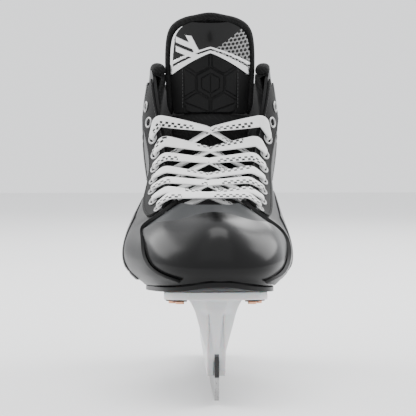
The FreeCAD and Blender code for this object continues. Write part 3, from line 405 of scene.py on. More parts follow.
def lace_cloth():
    """Flat woven tape with short black marks in staggered pairs along one edge and then the other."""
    m = Nodes("lace_weave")
    uv = m.new("ShaderNodeTexCoord").outputs["UV"]
    split = m.new("ShaderNodeSeparateXYZ", {"Vector": uv})
    along, across = split.outputs[0], split.outputs[1]
    marks = []
    for offset, place in ((0.0, 0.68), (2.2, 0.2)):
        phase = m.math("MODULO", m.math("ADD", along, offset + 4000.0), 4.4)
        dash = m.math("LESS_THAN", phase, 2.2)
        near = m.math("LESS_THAN", m.math("ABSOLUTE", m.math("SUBTRACT", across, place)), 0.21)
        marks.append(m.math("MULTIPLY", dash, near))
    zone = m.math("GREATER_THAN", m.math("SINE", m.math("MULTIPLY", along, 0.11)), -0.35)
    mark = m.math("MULTIPLY", m.math("MAXIMUM", *marks), zone)
    ribs = m.math("SINE", m.math("MULTIPLY", along, 7.0))
    cross = m.math("SINE", m.math("MULTIPLY", across, 26.0))
    weave = m.math("MULTIPLY", ribs, cross)
    white = m.mix(m.noise(120.0), rgb(0.70, (1, 1, 0.99)), rgb(0.86, (1, 1, 0.99)))
    m.surface(Base_Color=m.mix(mark, white, rgb(0.004)), Roughness=0.9, Sheen_Weight=0.3)
    m.bump(m.math("MULTIPLY_ADD", weave, 0.5, m.noise(900.0)), 0.35, 0.0003)
    return m.material


COOL = (0.92, 1.0, 1.06)     # a slightly blue tint
MATERIALS = {
    "toe_gloss": plastic("toe_gloss", rgb(0.0015), rgb(0.003), 0.24, bump=0.01, shine=0.2),
    "toe_matt": plastic("toe_matt", rgb(0.016, COOL), rgb(0.026, COOL), 0.5, bump=0.1, shine=0.25),
    "shell": plastic("shell", rgb(0.004), rgb(0.01), 0.38, bump=0.06, shine=0.25),
    "patent": plastic("patent", rgb(0.02), rgb(0.12), 0.2, bump=0.01, coat=0.2, scale=14.0, Metallic=0.4),
    "panel_grey": plastic("panel_grey", rgb(0.015), rgb(0.05), 0.32, bump=0.03, coat=0.1, scale=16.0,
                          Metallic=0.2),
    "facing": plastic("facing", rgb(0.005), rgb(0.013), 0.6, grain=1600.0, bump=0.35, shine=0.12),
    "outsole": plastic("outsole", rgb(0.003), rgb(0.008), 0.4, bump=0.05, shine=0.15),
    "board": plastic("board", rgb(0.02), rgb(0.035), 0.8, bump=0.3, shine=0.2),
    "holder": plastic("holder", rgb(0.56, (0.97, 0.99, 1.0)), rgb(0.66, (0.98, 0.99, 1.0)), 0.36, bump=0.03,
                      scale=20.0, Subsurface_Weight=0.3, Subsurface_Scale=0.005),
    "rubber": plastic("rubber", rgb(0.002), rgb(0.005), 0.55, grain=1500.0, bump=0.2, shine=0.14),
    "binding": cloth("binding", rgb(0.003), rgb(0.014)),
    "tongue_cloth": cloth("tongue_cloth", rgb(0.005), rgb(0.014), 1000.0),
    "lining": cloth("lining", rgb(0.004), rgb(0.012), 900.0),
    "felt": cloth("felt", rgb(0.4), rgb(0.6), 500.0, 0.8, 0.3),
    "footbed_cloth": cloth("footbed_cloth", rgb(0.02), rgb(0.05), 800.0),
    "thread": cloth("thread", rgb(0.03), rgb(0.09), 2500.0),
    "chrome": metal("chrome", rgb(0.62), 0.14),
    "panel_black": plastic("panel_black", rgb(0.002), rgb(0.004), 0.12, bump=0.01, shine=0.2),
    "panel_silver": metal("panel_silver", rgb(0.22), 0.3),
    "eyelet": metal("eyelet", rgb(0.3), 0.34),
    "bolt": metal("bolt", rgb(0.5), 0.3),
    "copper": metal("copper", rgb(0.8, (1.0, 0.5, 0.3)), 0.32),
    # Near-black metal for the rivet cups: the cups are real parts, but their dark colour is painted shade,
    # the shadow under the holder's flanges.
    "black_steel": metal("black_steel", rgb(0.02), 0.45),
    "tip": plastic("tip", rgb(0.7), rgb(0.8), 0.2, coat=0.6),
    "runner": runner_metal(),
    "lace": lace_cloth(),
}


def dress(piece, *materials, slot):
    """Gives a piece its materials, keeping which face has which. The slot argument is not used."""
    chosen = np.zeros(len(piece.data.polygons), np.int32)
    piece.data.polygons.foreach_get("material_index", chosen)
    piece.data.materials.clear()
    for name in materials:
        piece.data.materials.append(MATERIALS[name])
    piece.data.polygons.foreach_set("material_index", chosen)


def dress_cad(slot, material, *nodes):
    """CAD nodes shown as they are, with a finish."""
    for name in nodes:
        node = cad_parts[name]
        node.data.materials.clear()
        node.data.materials.append(MATERIALS[material])


# ------------------------------------------------------------------ toe cap
def crease(s):
    """The level of the moulded crease across the toe cap."""
    return 3.95 - 1.25 * np.abs(s / 3.5) ** 1.6


def toe_depth(s, t):
    """How deep in the wall the toe cap's outer face lies: it swells out below the crease."""
    under = crease(s) - t
    bulge = np.where(under > 0, 1 - smooth(0.0, 1.9, under), 0.0)
    return TOE_OUT - 1.5 * bulge * (1 - smooth(3.6, 4.3, np.abs(s)))


def toe_top(s):
    """The level of the toe cap's top edge."""
    return LEVELS - 0.12 - 1.3 * smooth(2.9, 4.1, np.abs(s))


def toe_levels(s, shares):
    """Levels up the toe cap, with a pair of rows at the crease so that it stays crisp."""
    edge = crease(s)
    low = -0.3 + shares * 2 * (edge + 0.28)
    high = edge + 0.02 + (shares * 2 - 1) * (toe_top(s) - edge - 0.02)
    return np.where(shares < 0.5, low, high)


def toe_cap():
    """A glossy shell that is satin above the crease, with a skirt that hides the edge of the sole."""
    shares = np.concatenate([np.linspace(0, 0.4999, 30), np.linspace(0.5, 1, 16)])
    s, b = np.meshgrid(np.linspace(-4.55, 4.55, 101), shares, indexing="ij")
    level = toe_levels(s, b)
    t, skirt = np.maximum(level, 0), np.maximum(-level, 0) * 11
    down = np.stack([0 * skirt, 0 * skirt, skirt], -1)
    outer = wall(s, t, toe_depth(s, t) + 0.35 * skirt) - down
    inner = wall(s, t, TOE_OUT + TOE_WALL) - down
    slots = (face_middles(b) > 0.5).astype(int).ravel()
    piece = closed_slab("toe_cap_shell", outer, inner, slots)
    dress(piece, "toe_gloss", "toe_matt", slot="toe_plastic")
    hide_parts("toe_cap")
    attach(piece, "boot")


STITCH_PITCH, STITCH_LENGTH, THREAD = 2.6, 1.7, 0.28


def stitches(name, points, normals, body):
    """A row of short threads lying along a line."""
    points, normals = np.asarray(points), np.asarray(normals)
    distance = np.concatenate([[0], np.cumsum(np.linalg.norm(np.diff(points, axis=0), axis=1))])
    parts = []
    for k in range(int(distance[-1] / STITCH_PITCH)):
        marks = k * STITCH_PITCH + np.linspace(0, STITCH_LENGTH, 5)
        path = np.stack([np.interp(marks, distance, points[:, i]) for i in range(3)], 1)
        up = np.stack([np.interp(marks, distance, normals[:, i]) for i in range(3)], 1)
        lift = np.array([-0.15, 0.12, 0.2, 0.12, -0.15])
        parts.append(tube(f"{name}_{k}", path + unit(up) * lift[:, None], np.full((5, 2), THREAD), up, 6))
    piece = joined(name, parts)
    dress(piece, "thread", slot="tongue_cloth")
    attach(piece, body)


# ------------------------------------------------------------------ boot linings and pads
LINER_OUT, LINER_IN = SHELL + GAP, SHELL + GAP + LINER_WALL


def liner_top(s):
    """The liner's top edge, lower beside the tongue than under the collar."""
    place = np.minimum(s, mirrored(s))
    return 3.8 + 1.15 * smooth(9.0, 9.5, place)


def pillow(a, b, power=6):
    """1 inside a patch, falling to 0 at its edges."""
    return (1 - np.abs(2 * a - 1) ** power) ** 0.5 * (1 - np.abs(2 * b - 1) ** power) ** 0.5


def wall_pillow(name, node, ends, low, high, outer, thick, rows, columns, material, slot):
    """A soft piece on the wall's inner side, thinning to rounded edges."""
    a, b = share_grid(rows, columns)
    s = ends[0] + a * (ends[1] - ends[0])
    t = low + b * (high(s) - low)
    body = pillow(a, b, 10)
    full = thick(s, t) if callable(thick) else thick
    middle = outer + full / 2
    half = full / 2 * np.maximum(body, 0.12)
    piece = closed_slab(name, wall(s, t, middle - half), wall(s, t, middle + half))
    dress(piece, material, slot=slot)
    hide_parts(node)
    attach(piece, "boot")


def ankle_thickness(s, t):
    """Thick foam from the collar's front edge back, with a hollow for the ankle bone."""
    place = np.minimum(s, mirrored(s))
    bump = smooth(8.9, 9.35, place) * (1 - smooth(11.4, 12.7, place))
    ankle = 1 - 0.55 * np.exp(-((place - 10.3) ** 2 + 2.0 * (t - 3.0) ** 2) * 2.2)
    return 0.9 + 6.0 * bump * smooth(2.1, 3.1, t) * ankle


def linings():
    ends = {"lateral": (4.75, HEEL - 0.02), "medial": (HEEL + 0.02, mirrored(4.75))}
    for side, span in ends.items():
        wall_pillow(f"liner_{side}_quilt", f"liner_{side}", span, 0.45, liner_top, LINER_OUT,
                    LINER_WALL, 90, 40, "lining", "lining")
    ends = {"lateral": (9.1, 12.8), "medial": (mirrored(12.8), mirrored(9.1))}
    for side, span in ends.items():
        wall_pillow(f"ankle_foam_{side}", f"ankle_pad_{side}", span, 2.0, fixed(5.02), LINER_IN + GAP,
                    ankle_thickness, 50, 40, "footbed_cloth", "foam_cloth")
    wall_pillow("toe_lining_felt", "toe_lining", (-4.4, 4.4), 0.25, lambda s: toe_top(s) - 0.15,
                TOE_OUT + TOE_WALL + GAP + 0.2, 1.4, 60, 24, "lining", "lining")


# ------------------------------------------------------------------ collar binding and panel seams
def collar_roll(side, name):
    """The padded roll along one side of the boot's top edge."""
    first, last = 9.05, 12.28
    s = np.linspace(first, last, 60)
    place = s if side < 0 else mirrored(s)
    depth = LINER_IN / 2
    edge = wall(place, 5.0, depth)
    up = unit(edge - wall(place, 4.95, depth))
    ends = np.minimum(1, np.sqrt(np.clip(np.minimum(s - first, last - s) / 0.12, 0.02, 1)))
    size = np.stack([5.0 * ends, 3.3 * ends], 1)
    path = edge + up * 2.6 - outward(place, np.full(60, 4.95)) * 2.2
    piece = tube(f"collar_roll_{name}", path, size, up, 16)
    dress(piece, "binding", slot="binding")
    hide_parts(f"collar_binding_{name}")
    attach(piece, "boot")


def heel_lip():
    """A stitched roll inside the collar's back edge, where the tendon guard is let in."""
    first = 11.5
    s = np.linspace(first, mirrored(first), 60)
    edge = wall(s, np.full(60, 5.0), 4.6)
    path = edge + np.array([0, 0, -0.6])
    ends = np.sqrt(np.clip(np.minimum(s - first, mirrored(first) - s) / 0.15, 0.05, 1))
    piece = tube("heel_lip", path, np.stack([2.2 * ends, 2.8 * ends], 1), np.tile([0, 0, 1.0], (60, 1)), 16)
    dress(piece, "binding", slot="binding")
    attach(piece, "boot")


def wall_line(places, levels, depth=0.0):
    s, t = np.asarray(places, float), np.asarray(levels, float)
    return wall(s, t, depth), outward(s, t)


def seams():
    """Rows of stitches along the facings and the panels' edges."""
    for side, name in SIDES:
        def place(s):
            return s if side < 0 else mirrored(s)
        s = np.linspace(3.85, 8.9, 120)
        for level, kind in ((4.93, "edge"), (3.99, "back")):
            points, normals = wall_line(place(s), np.full(120, level), -1.55)
            stitches(f"facing_stitch_{kind}_{name}", points, normals, "boot")
        s = np.linspace(9.75, 13.2, 90)
        points, normals = wall_line(place(s), np.full(90, 4.66), -1.35)
        stitches(f"panel_stitch_top_{name}", points, normals, "boot")
        points, normals = wall_line(place(s), np.full(90, 2.61), -1.35)
        stitches(f"panel_stitch_low_{name}", points, normals, "boot")


# ------------------------------------------------------------------ sole and footbed
# The sole's middle line from the toe to the heel: place along, half width, height.
SOLE_LINE = np.array([
    (-138.5, 6.0, 78.3), (-136.5, 12.5, 77.2), (-130, 22.0, 75.2), (-116, 33.6, 73.4), (-96, 39.6, 72.0),
    (-70, 42.6, 70.3), (-44, 42.6, 68.6), (-20, 39.4, 68.2), (4, 35.6, 70.4), (26, 33.6, 73.4),
    (46, 32.8, 76.0), (66, 32.8, 76.8), (86, 32.6, 77.6), (104, 30.6, 78.3), (118, 23.5, 78.9),
    (126, 14.0, 79.2), (129.5, 6.0, 79.3)])
OUTSOLE, BOARD, RIVET_HEADS = 3.0, 2.5, 0.7 + 0.15 + 1.4     # what lies under the footbed, from below


def footbed():
    """A cushion as wide as the boot's inside, cupped at the heel."""
    a, b = share_grid(90, 33)
    u = 1.6 + a * (len(SOLE_LINE) - 1 - 3.2)
    line = basis(len(SOLE_LINE), u.ravel()) @ SOLE_LINE
    v = b.ravel() * 2 - 1
    half = line[:, 1] - 9.5
    low = OUTSOLE + 2 * GAP + BOARD + RIVET_HEADS
    cup = 3.2 * smooth(8, 13, u.ravel()) * v * v
    soft = np.maximum(pillow(a, b, 12).ravel(), 0.15)
    x = v * half + centre_shift(line[:, 0])
    top = np.stack([x, line[:, 0], line[:, 2] + low + 0.3 + (3.7 + cup) * soft], 1).reshape(a.shape + (3,))
    bottom = np.stack([x, line[:, 0], line[:, 2] + low + 0.0 * x], 1).reshape(a.shape + (3,))
    piece = closed_slab("footbed_cushion", top, bottom)
    dress(piece, "footbed_cloth", slot="foam_cloth")
    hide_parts("footbed")
    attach(piece, "boot")


# ------------------------------------------------------------------ tongue
GUARD_WALL, FOAM_WALL, FELT_WALL = 2.2, 6.0, 2.0
SKIN = GUARD_WALL + GAP
TONGUE_BACK = SKIN + FOAM_WALL
FLEX = 0.6 / 19              # half the gap at the fold, as a share of a place on the middle line
ABOVE_FLEX = TONGUE_FLEX + FLEX


STITCH_OUT = 20.2            # from the tongue's middle to the rows of stitches


def tongue_half(u, inset):
    """The share of the tongue's half width that is left inside a margin."""
    half = basis(len(TONGUE_LINE), np.asarray(u, float).ravel()) @ TONGUE_LINE[:, 2]
    return (1 - inset / np.maximum(half, 4)).reshape(np.shape(u))


def tongue_slab(name, first, last, inset, low, high, rows=60, columns=31, soft=False, slots=None):
    """A layer of the tongue. first and last are functions of the place across, low and high of both."""
    a, b = share_grid(rows, columns)
    across = 2 * b - 1
    u = first(across) + a * (last(across) - first(across))
    v = across * tongue_half(u, inset)
    shallow, deep = low(u, v), high(u, v)
    if soft:
        middle, body = (shallow + deep) / 2, np.maximum(pillow(a, b, 12), 0.2)
        shallow, deep = middle + (shallow - middle) * body, middle + (deep - middle) * body
    chosen = None if slots is None else slots(face_middles(u), face_middles(v)).ravel()
    return closed_slab(name, tongue(u, v, shallow), tongue(u, v, deep), chosen)


def flat_axes(u, v):
    """Millimetres across and up the tongue's front, from its middle at u 7."""
    half = basis(len(TONGUE_LINE), u.ravel()) @ TONGUE_LINE[:, 2]
    height = basis(len(TONGUE_LINE), u.ravel()) @ TONGUE_LINE[:, 1]
    return v * half.reshape(u.shape), height.reshape(u.shape) - 217.0


def hexagon_distance(x, y):
    """Distance from a point to a hexagon's middle, measured square to its nearest side."""
    x, y = np.abs(x), np.abs(y)
    return np.maximum(y, 0.5 * y + 0.866 * x)


def ridge(distance, width):
    """1 on a line, falling to 0 at half its width away."""
    return np.clip(1.2 - np.abs(distance) / (width / 2), 0, 1)


PAD_DROP = 5.0               # how far below the zero of flat_axes the middle cell lies
CELL_PITCH = 19.4            # from the middle cell to the next ones


def guard_relief(u, v):
    """How far the moulded pad stands proud: a cell in the middle, cells round it and chevrons below."""
    x, y = flat_axes(u, v)
    edge = smooth(18.6, 19.6, np.abs(x))
    middle = hexagon_distance(y + PAD_DROP, x)
    cells = np.full(np.shape(x), 99.0)
    for turn in range(6):
        angle = math.radians(60 * turn)
        up, across = CELL_PITCH * math.sin(angle), CELL_PITCH * math.cos(angle)
        cells = np.minimum(cells, hexagon_distance(y + PAD_DROP - up, x - across))
    groove = np.maximum(ridge(middle - 9.7, 1.3), ridge(middle - 6.4, 0.9) * 0.7)
    groove = np.maximum(groove, ridge(cells - 8.6, 1.0) * 0.8 * (middle > 9.0))
    chevron = y + 26 - 0.38 * np.abs(x)
    groove = np.maximum(groove, (ridge(chevron, 1.5) + ridge(chevron + 5.5, 1.5)) * (np.abs(x) < 18))
    groove = np.maximum(groove, ridge(x, 1.1) * 0.7 * ((middle < 6.2) | (y < -12)))
    raised = 0.9 * (1 - edge) * (1 - 0.85 * np.clip(groove, 0, 1))
    return raised + 0.25 * (1 - smooth(5.4, 6.2, middle)) * (1 - edge)


ARCH_TOP, ARCH_GAP = 7.98, 0.04     # the guard's top edge at its middle, and the gap to the panel above it


def arch(v, rise=0.0):
    """The arched edge between the guard and the panel, as a place up the tongue."""
    return ARCH_TOP + rise - 1.06 * np.abs(v) ** 1.15


def tongue_layers():
    lower = tongue_slab("tongue_lower_padding", fixed(0.0), fixed(TONGUE_FLEX - FLEX), 0.5,
                        fixed(0.0), fixed(5.0), 90, 31, True)
    dress(lower, "tongue_cloth", slot="tongue_cloth")
    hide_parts("tongue_lower")
    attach(lower, "boot")

    foam = tongue_slab("tongue_foam_padding", fixed(ABOVE_FLEX), fixed(11.3), 2.2,
                       fixed(SKIN), fixed(TONGUE_BACK), 60, 31, True)
    dress(foam, "tongue_cloth", slot="felt")
    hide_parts("tongue_foam")
    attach(foam, "tongue_top")

    felt = tongue_slab("tongue_felt_lining", fixed(ABOVE_FLEX + FLEX), fixed(11.0), 3.6,
                       fixed(TONGUE_BACK + GAP), fixed(TONGUE_BACK + GAP + FELT_WALL), 60, 31, True)
    dress(felt, "felt", slot="felt")
    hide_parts("tongue_felt")
    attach(felt, "tongue_top")

    guard = tongue_slab("tongue_guard_moulding", fixed(ABOVE_FLEX), arch, 3.3,
                        lambda u, v: 0.6 - guard_relief(u, v), fixed(GUARD_WALL), 230, 171)
    dress(guard, "rubber", slot="tongue_rubber")
    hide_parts("tongue_guard")
    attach(guard, "tongue_top")
    u = np.linspace(5.8, 7.45, 80)
    half = basis(len(TONGUE_LINE), u) @ TONGUE_LINE[:, 2]
    for side, name in SIDES:
        points = tongue(u, side * STITCH_OUT / half, 0.5)
        normals = points - tongue(u, side * STITCH_OUT / half, 1.5)
        stitches(f"tongue_stitch_{name}", points, normals, "tongue_top")


def panel_finish(u, v):
    """0 black gloss, 1 chrome in the slanted bars, side edge and lower trims, 2 silver in the mesh."""
    x, y = flat_axes(u, v)
    low = np.abs(u - arch(v, ARCH_GAP)) * 8
    finish = np.zeros(np.shape(u), int)
    lean = x + 0.55 * (y - 26)
    finish[(lean > -17) & (lean < -12.5) & (y > 17) & (y < 28)] = 1
    for bar in (16.5, 22.5):
        finish[(x > -25) & (lean < -13) & (np.abs(y - bar + 0.25 * (x + 20)) < 1.9)] = 1
    finish[(v < -0.84) & (u < 10.2)] = 1
    a, b = x / 3.0, y / 2.6
    mesh = hexagon_distance((a + 0.5 * np.mod(np.floor(b), 2)) % 1.0 - 0.5, b % 1.0 - 0.5)
    finish[(mesh > 0.36) & (x > 2) & (v < 0.95) & (y < 17.5 + 0.62 * x)] = 2
    finish[low < 1.2] = 1
    finish[(low > 2.0) & (low < 3.0)] = 1
    return finish


def panel_depth(u, v):
    """The bright figures stand a little proud."""
    return 0.4 - np.where(panel_finish(u, v) > 0, 0.35, 0.0)


def tongue_top_panel():
    panel = tongue_slab("tongue_panel_plate", lambda v: arch(v, ARCH_GAP), fixed(11.1), 3.3,
                        panel_depth, fixed(1.8), 190, 221, slots=panel_finish)
    dress(panel, "panel_black", "chrome", "panel_silver", slot="chrome_panel")
    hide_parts("tongue_panel")
    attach(panel, "tongue_top")


def smooth_path(points):
    """A natural spline through points, with twelve steps from each to the next."""
    points = np.asarray(points)
    last = len(points) - 1
    return basis(len(points), np.linspace(0, last, 12 * last + 1)) @ points


BINDING_STOPS = [ABOVE_FLEX, 6.6, 7.5, 8.3, 9.1, 10.0, 10.9, 11.7]


def tongue_edge():
    """The padded roll round the tongue's top, from fold to fold."""
    up = [tongue(u, -1.02, TONGUE_BACK / 2) for u in BINDING_STOPS]
    down = [tongue(u, 1.02, TONGUE_BACK / 2) for u in BINDING_STOPS[::-1]]
    top = tongue(TONGUE_LAST, 0.0, TONGUE_BACK / 2) + np.array([0, 0, 1.3])
    path = smooth_path(up + [top] + down)
    from_end = np.minimum(np.arange(len(path)), np.arange(len(path))[::-1])
    ends = np.minimum(1, np.sqrt(np.clip(from_end / 4.0, 0.05, 1)))
    size = np.stack([2.9 * ends, 4.4 * ends], 1)
    piece = tube("tongue_edge_binding", path, size, np.tile([0, -1.0, 0.1], (len(path), 1)), 20)
    dress(piece, "binding", slot="binding")
    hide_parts("tongue_binding")
    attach(piece, "tongue_top")


# ------------------------------------------------------------------ tendon guard
TENDON_HEIGHT, RIB_PITCH = 50.0, 7.5


def guard_point(s, h, depth):
    """Points of the tendon guard at places s round the heel and heights h above the boot's edge."""
    edge = wall(s, np.full(np.shape(s), float(LEVELS)), depth)
    share = h / TENDON_HEIGHT
    narrowing = 1 - 0.22 * share ** 2
    lean = 0.35 * (2.0 * share + 5.0 * share ** 2)
    return np.stack([edge[..., 0] * narrowing, edge[..., 1] + lean, edge[..., 2] + h], -1)


def guard_slab(name, width, base, inset, low, high, rows, columns, relief=0.0, soft=False):
    """A layer of the tendon guard between two depths, with level ribs on its outer face."""
    a, b = share_grid(rows, columns)
    s = HEEL - width + 2 * width * a
    top = TENDON_HEIGHT * (1 - 0.62 * smooth(0.15, 1.0, np.abs(s - HEEL) / 1.9)) - inset
    h = base + (top - base) * b
    ribs = relief * np.clip(np.cos(h / RIB_PITCH * 2 * math.pi) * 2 - 0.6, -0.4, 1)
    ribs = ribs * smooth(0.06, 0.14, b) * (1 - smooth(0.8, 0.92, b))
    ribs = ribs * (1 - smooth(1.0, 1.3, np.abs(s - HEEL)))
    low, high = low - ribs, high + 0.0 * ribs
    if soft:
        middle, body = (low + high) / 2, np.maximum(pillow(a, b, 8), 0.2)
        low, high = middle + (low - middle) * body, middle + (high - middle) * body
    return closed_slab(name, guard_point(s, h, low), guard_point(s, h, high))


def tendon():
    shell = guard_slab("tendon_guard_shell", 1.6, 0.6, 0.0, 0.2, 2.8, 90, 80, 0.7)
    dress(shell, "toe_matt", slot="toe_plastic")
    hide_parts("tendon_guard")
    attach(shell, "tendon")
    pad = guard_slab("tendon_pad_cushion", 1.45, 1.2, 3.0, 3.1, 7.1, 50, 40, 0.0, True)
    dress(pad, "lining", slot="foam_cloth")
    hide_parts("tendon_pad")
    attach(pad, "tendon")


# ------------------------------------------------------------------ outer panels
def outer_panel(name, node, ends, low, high, thick, rows, columns, relief, materials, slot, finish=None):
    """A panel on the wall's outside, thinner at its edges. ends are functions of the share up it."""
    a, b = share_grid(rows, columns)
    first, last = ends
    s = first(b) + a * (last(b) - first(b))
    t = low + b * (high(s) - low)
    place = np.minimum(s, mirrored(s))
    edge = np.minimum(np.minimum(a, 1 - a) * rows / 3.0, np.minimum(b, 1 - b) * columns / 2.0)
    height = thick * (0.45 + 0.55 * np.sin(np.clip(edge, 0, 1) * math.pi / 2)) + relief(place, t)
    chosen = None
    if finish is not None:
        chosen = finish(face_middles(place), face_middles(t)).ravel()
    piece = closed_slab(name, wall(s, t, -GAP - height), wall(s, t, -GAP), chosen)
    dress(piece, *materials, slot=slot)
    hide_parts(node)
    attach(piece, "boot")


def ankle_oval(place, t):
    """1 on the edge of an oval near the panel's front, less inside it."""
    return ((place - 10.15) / 0.2) ** 2 + ((t - 3.9) / 0.26) ** 2


def ankle_sweep(place):
    """The level of the upper of two grooves that sweep back over the ankle."""
    return 3.25 + 0.12 * (place - 11.2) ** 2


def ankle_relief(place, t):
    """The hollow oval, the two grooves and the raised part above them."""
    oval = ankle_oval(place, t)
    hollow = -0.5 * (1 - smooth(0.75, 1.0, oval)) + 0.25 * ridge(oval - 1.3, 0.5)
    sweep = t - ankle_sweep(place)
    grooves = 0.4 * ridge(sweep, 0.09) + 0.4 * ridge(sweep + 0.16, 0.09)
    return hollow - grooves + 0.25 * smooth(0.0, 0.3, sweep)


def ankle_finish(place, t):
    """Black in the oval and in the band between the grooves."""
    band = np.abs(t - ankle_sweep(place) + 0.08) < 0.07
    return np.where((ankle_oval(place, t) < 0.8) | band, 1, 0)


def lower_relief(place, t):
    """Steps that run along the panel, and slanted slots at the ball of the foot."""
    steps = 0.3 * smooth(0.0, 0.06, t - 1.25 - 0.06 * (place - 8)) - 0.35 * ridge(t - 0.85, 0.12)
    where = (t > 1.5) * (t < 2.15) * (place > 5.4) * (place < 8.2)
    return steps - 0.5 * ridge((place + 0.45 * t) % 0.42 - 0.21, 0.2) * where


def lower_top(s):
    """The lower panels' top edge, which drops behind the ball of the foot."""
    return 3.3 - 1.05 * smooth(6.0, 9.2, np.minimum(s, mirrored(s)))


def heel_relief(place, t):
    """Cheeks raised at both sides of the heel, and level grooves."""
    cheeks = 0.4 * smooth(0.0, 0.1, np.abs(place - HEEL) - 0.2)
    return cheeks - 0.4 * ridge((t % 0.6) - 0.3, 0.16) * (t > 1) * (t < 4.2)


PANEL_BACK = 13.3            # where the side panels stop, short of the heel


def panels():
    for side, name in SIDES:
        if side < 0:
            ankle = (lambda b: 9.6 - 0.25 * b, fixed(PANEL_BACK))
            lower = (lambda b: 4.1 + 1.0 * b, fixed(PANEL_BACK))
        else:
            ankle = (fixed(mirrored(PANEL_BACK)), lambda b: mirrored(9.6 - 0.25 * b))
            lower = (fixed(mirrored(PANEL_BACK)), lambda b: mirrored(4.1 + 1.0 * b))
        outer_panel(f"ankle_panel_{name}", f"side_panel_{name}", ankle, 2.55, fixed(4.72), 1.0, 150, 110,
                    ankle_relief, ("patent", "panel_black"), "patent", ankle_finish)
        outer_panel(f"lower_panel_{name}_strip", f"lower_panel_{name}", lower, 0.35, lower_top, 1.0, 230, 80,
                    lower_relief, ("panel_grey",), "panel_grey")
    ends = (fixed(PANEL_BACK + 0.06), fixed(mirrored(PANEL_BACK + 0.06)))
    outer_panel("heel_cover", "heel_strip", ends, 0.2, fixed(4.7), 1.4, 60, 120,
                heel_relief, ("patent",), "patent")


# ------------------------------------------------------------------ eyelets
PLACES = [3.95, 4.7, 5.3, 5.86, 6.38, 6.89, 7.43, 7.98, 8.54]
EYELET_LEVEL = 4.42


def on_side(place, side):
    """A place on the lateral side, or its mirror image on the medial side, as an array of one."""
    return np.array([place if side < 0 else mirrored(place)])


def eyelet_axis(k, side):
    """Where eyelet k meets the wall, and the direction of its hole."""
    s, t = on_side(PLACES[k], side), np.array([EYELET_LEVEL])
    return wall(s, t)[0], outward(s, t)[0]


def turned(name, base, axis, profile):
    """A closed ring turned about an axis from a closed profile of (radius, height) pairs."""
    sides = 40
    axis = unit(np.asarray(axis, float))
    across = unit(np.cross(axis, [0.3, 1.0, 0.2]))
    other = np.cross(axis, across)
    angle = np.linspace(0, 2 * math.pi, sides, endpoint=False)
    profile = np.asarray(profile, float)
    spokes = np.cos(angle)[:, None] * across + np.sin(angle)[:, None] * other
    vertices = base + spokes[:, None] * profile[None, :, 0, None] + axis * profile[None, :, 1, None]
    count = len(profile)
    faces = []
    for i in range(sides):
        here, following = i * count, (i + 1) % sides * count
        for j in range(count):
            k = (j + 1) % count
            faces.append((here + j, here + k, following + k, following + j))
    piece = make(name, vertices.reshape(-1, 3), faces)
    tidy(piece, 40)
    return piece


def grommets():
    """An eyelet with a rolled rim in each place, on both sides."""
    rim = [(2.5, -3.3), (2.5, 1.7), (2.65, 2.15), (3.0, 2.38), (3.5, 2.42), (3.95, 2.25), (4.2, 1.95),
           (4.2, 1.72), (3.02, 1.72), (3.02, -2.9), (3.7, -2.9), (3.7, -3.3)]
    for side, name in SIDES:
        parts = [turned(f"grommet_{name}_{k}", *eyelet_axis(k, side), rim) for k in range(len(PLACES))]
        piece = joined(f"grommets_{name}", parts)
        tidy(piece, 40)
        dress(piece, "eyelet", slot="eyelet_metal")
        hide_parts(f"eyelets_{name}")
        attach(piece, "boot")


# ------------------------------------------------------------------ lace
LACED, LACE, TOP_RISE = 7, 1.5, 0.75        # laced pairs of eyelets, the cord's radius, the top rows' rise
RIM_GAP, RIM_HEIGHT, ROLL = 0.35, 0.6, 1.1  # the eyelets' rims and rolled ends
OVER = GAP + FACING_WALL + RIM_GAP + RIM_HEIGHT + LACE + 0.9
UNDER = -(SHELL + ROLL + LACE + 0.8)
FLAT, ROUND = (4.4, 0.75), (2.0, 1.3)       # half width and thickness, lying flat and drawn into an eyelet
TAIL_STOPS = [(34.5, 21, 160), (36, 16, 145), (38, 0, 129), (42, -18, 113), (44, -38, 101)]


def over_edge(k, side, height):
    """A point over the facing's edge beside eyelet k, which may lie between two, and the way out there."""
    low = int(k)
    following = PLACES[min(low + 1, len(PLACES) - 1)]
    s = on_side(PLACES[low] + (following - PLACES[low]) * (k - low), side)
    up = outward(s, np.array([5.0]))[0]
    rise = unit(np.array([0, up[1], up[2]]))
    return wall(s, np.array([4.98]))[0] + up * (GAP + FACING_WALL) + rise * (LACE + height), up


def lace_route(side):
    """Half the lace from the bottom row's middle, as (point, way it faces, (half width, half thickness))."""
    def into(k, where):
        base, axis = eyelet_axis(k, where)
        down = unit(wall(on_side(PLACES[k], where), np.array([4.0]))[0] - base)
        return [(base + axis * (OVER - 0.9), axis + 0.5 * down, ROUND), (base + axis * UNDER, down, ROUND)]

    edge, up = over_edge(0.0, side, 0.4)
    stops = [(edge, up, FLAT)] + into(0, side)
    here = side
    for k in range(LACED - 1):
        there = -here
        rise = TOP_RISE * (k / (LACED - 2)) ** 2
        low = over_edge(k + 0.3, here, -4.5)[0]
        high = over_edge(k + 0.8 + rise, there, 0.6)[0]
        lift = 0.0 if side * here > 0 else 2.2
        forward = unit(np.array([0, -0.35, 0.9]))
        stops.append(((low + high) / 2 + forward * (lift - 0.2 + rise * 2), forward, FLAT))
        edge, up = over_edge(k + 0.86 + rise, there, 0.3)
        stops.append((edge, up, FLAT))
        stops += into(k + 1, there)
        here = there
    return stops + [(placed(*stop, here), np.array([here, 0.0, 0.2]), FLAT) for stop in TAIL_STOPS]



CORNER = 3.2                 # how far before a point the lace starts to bend


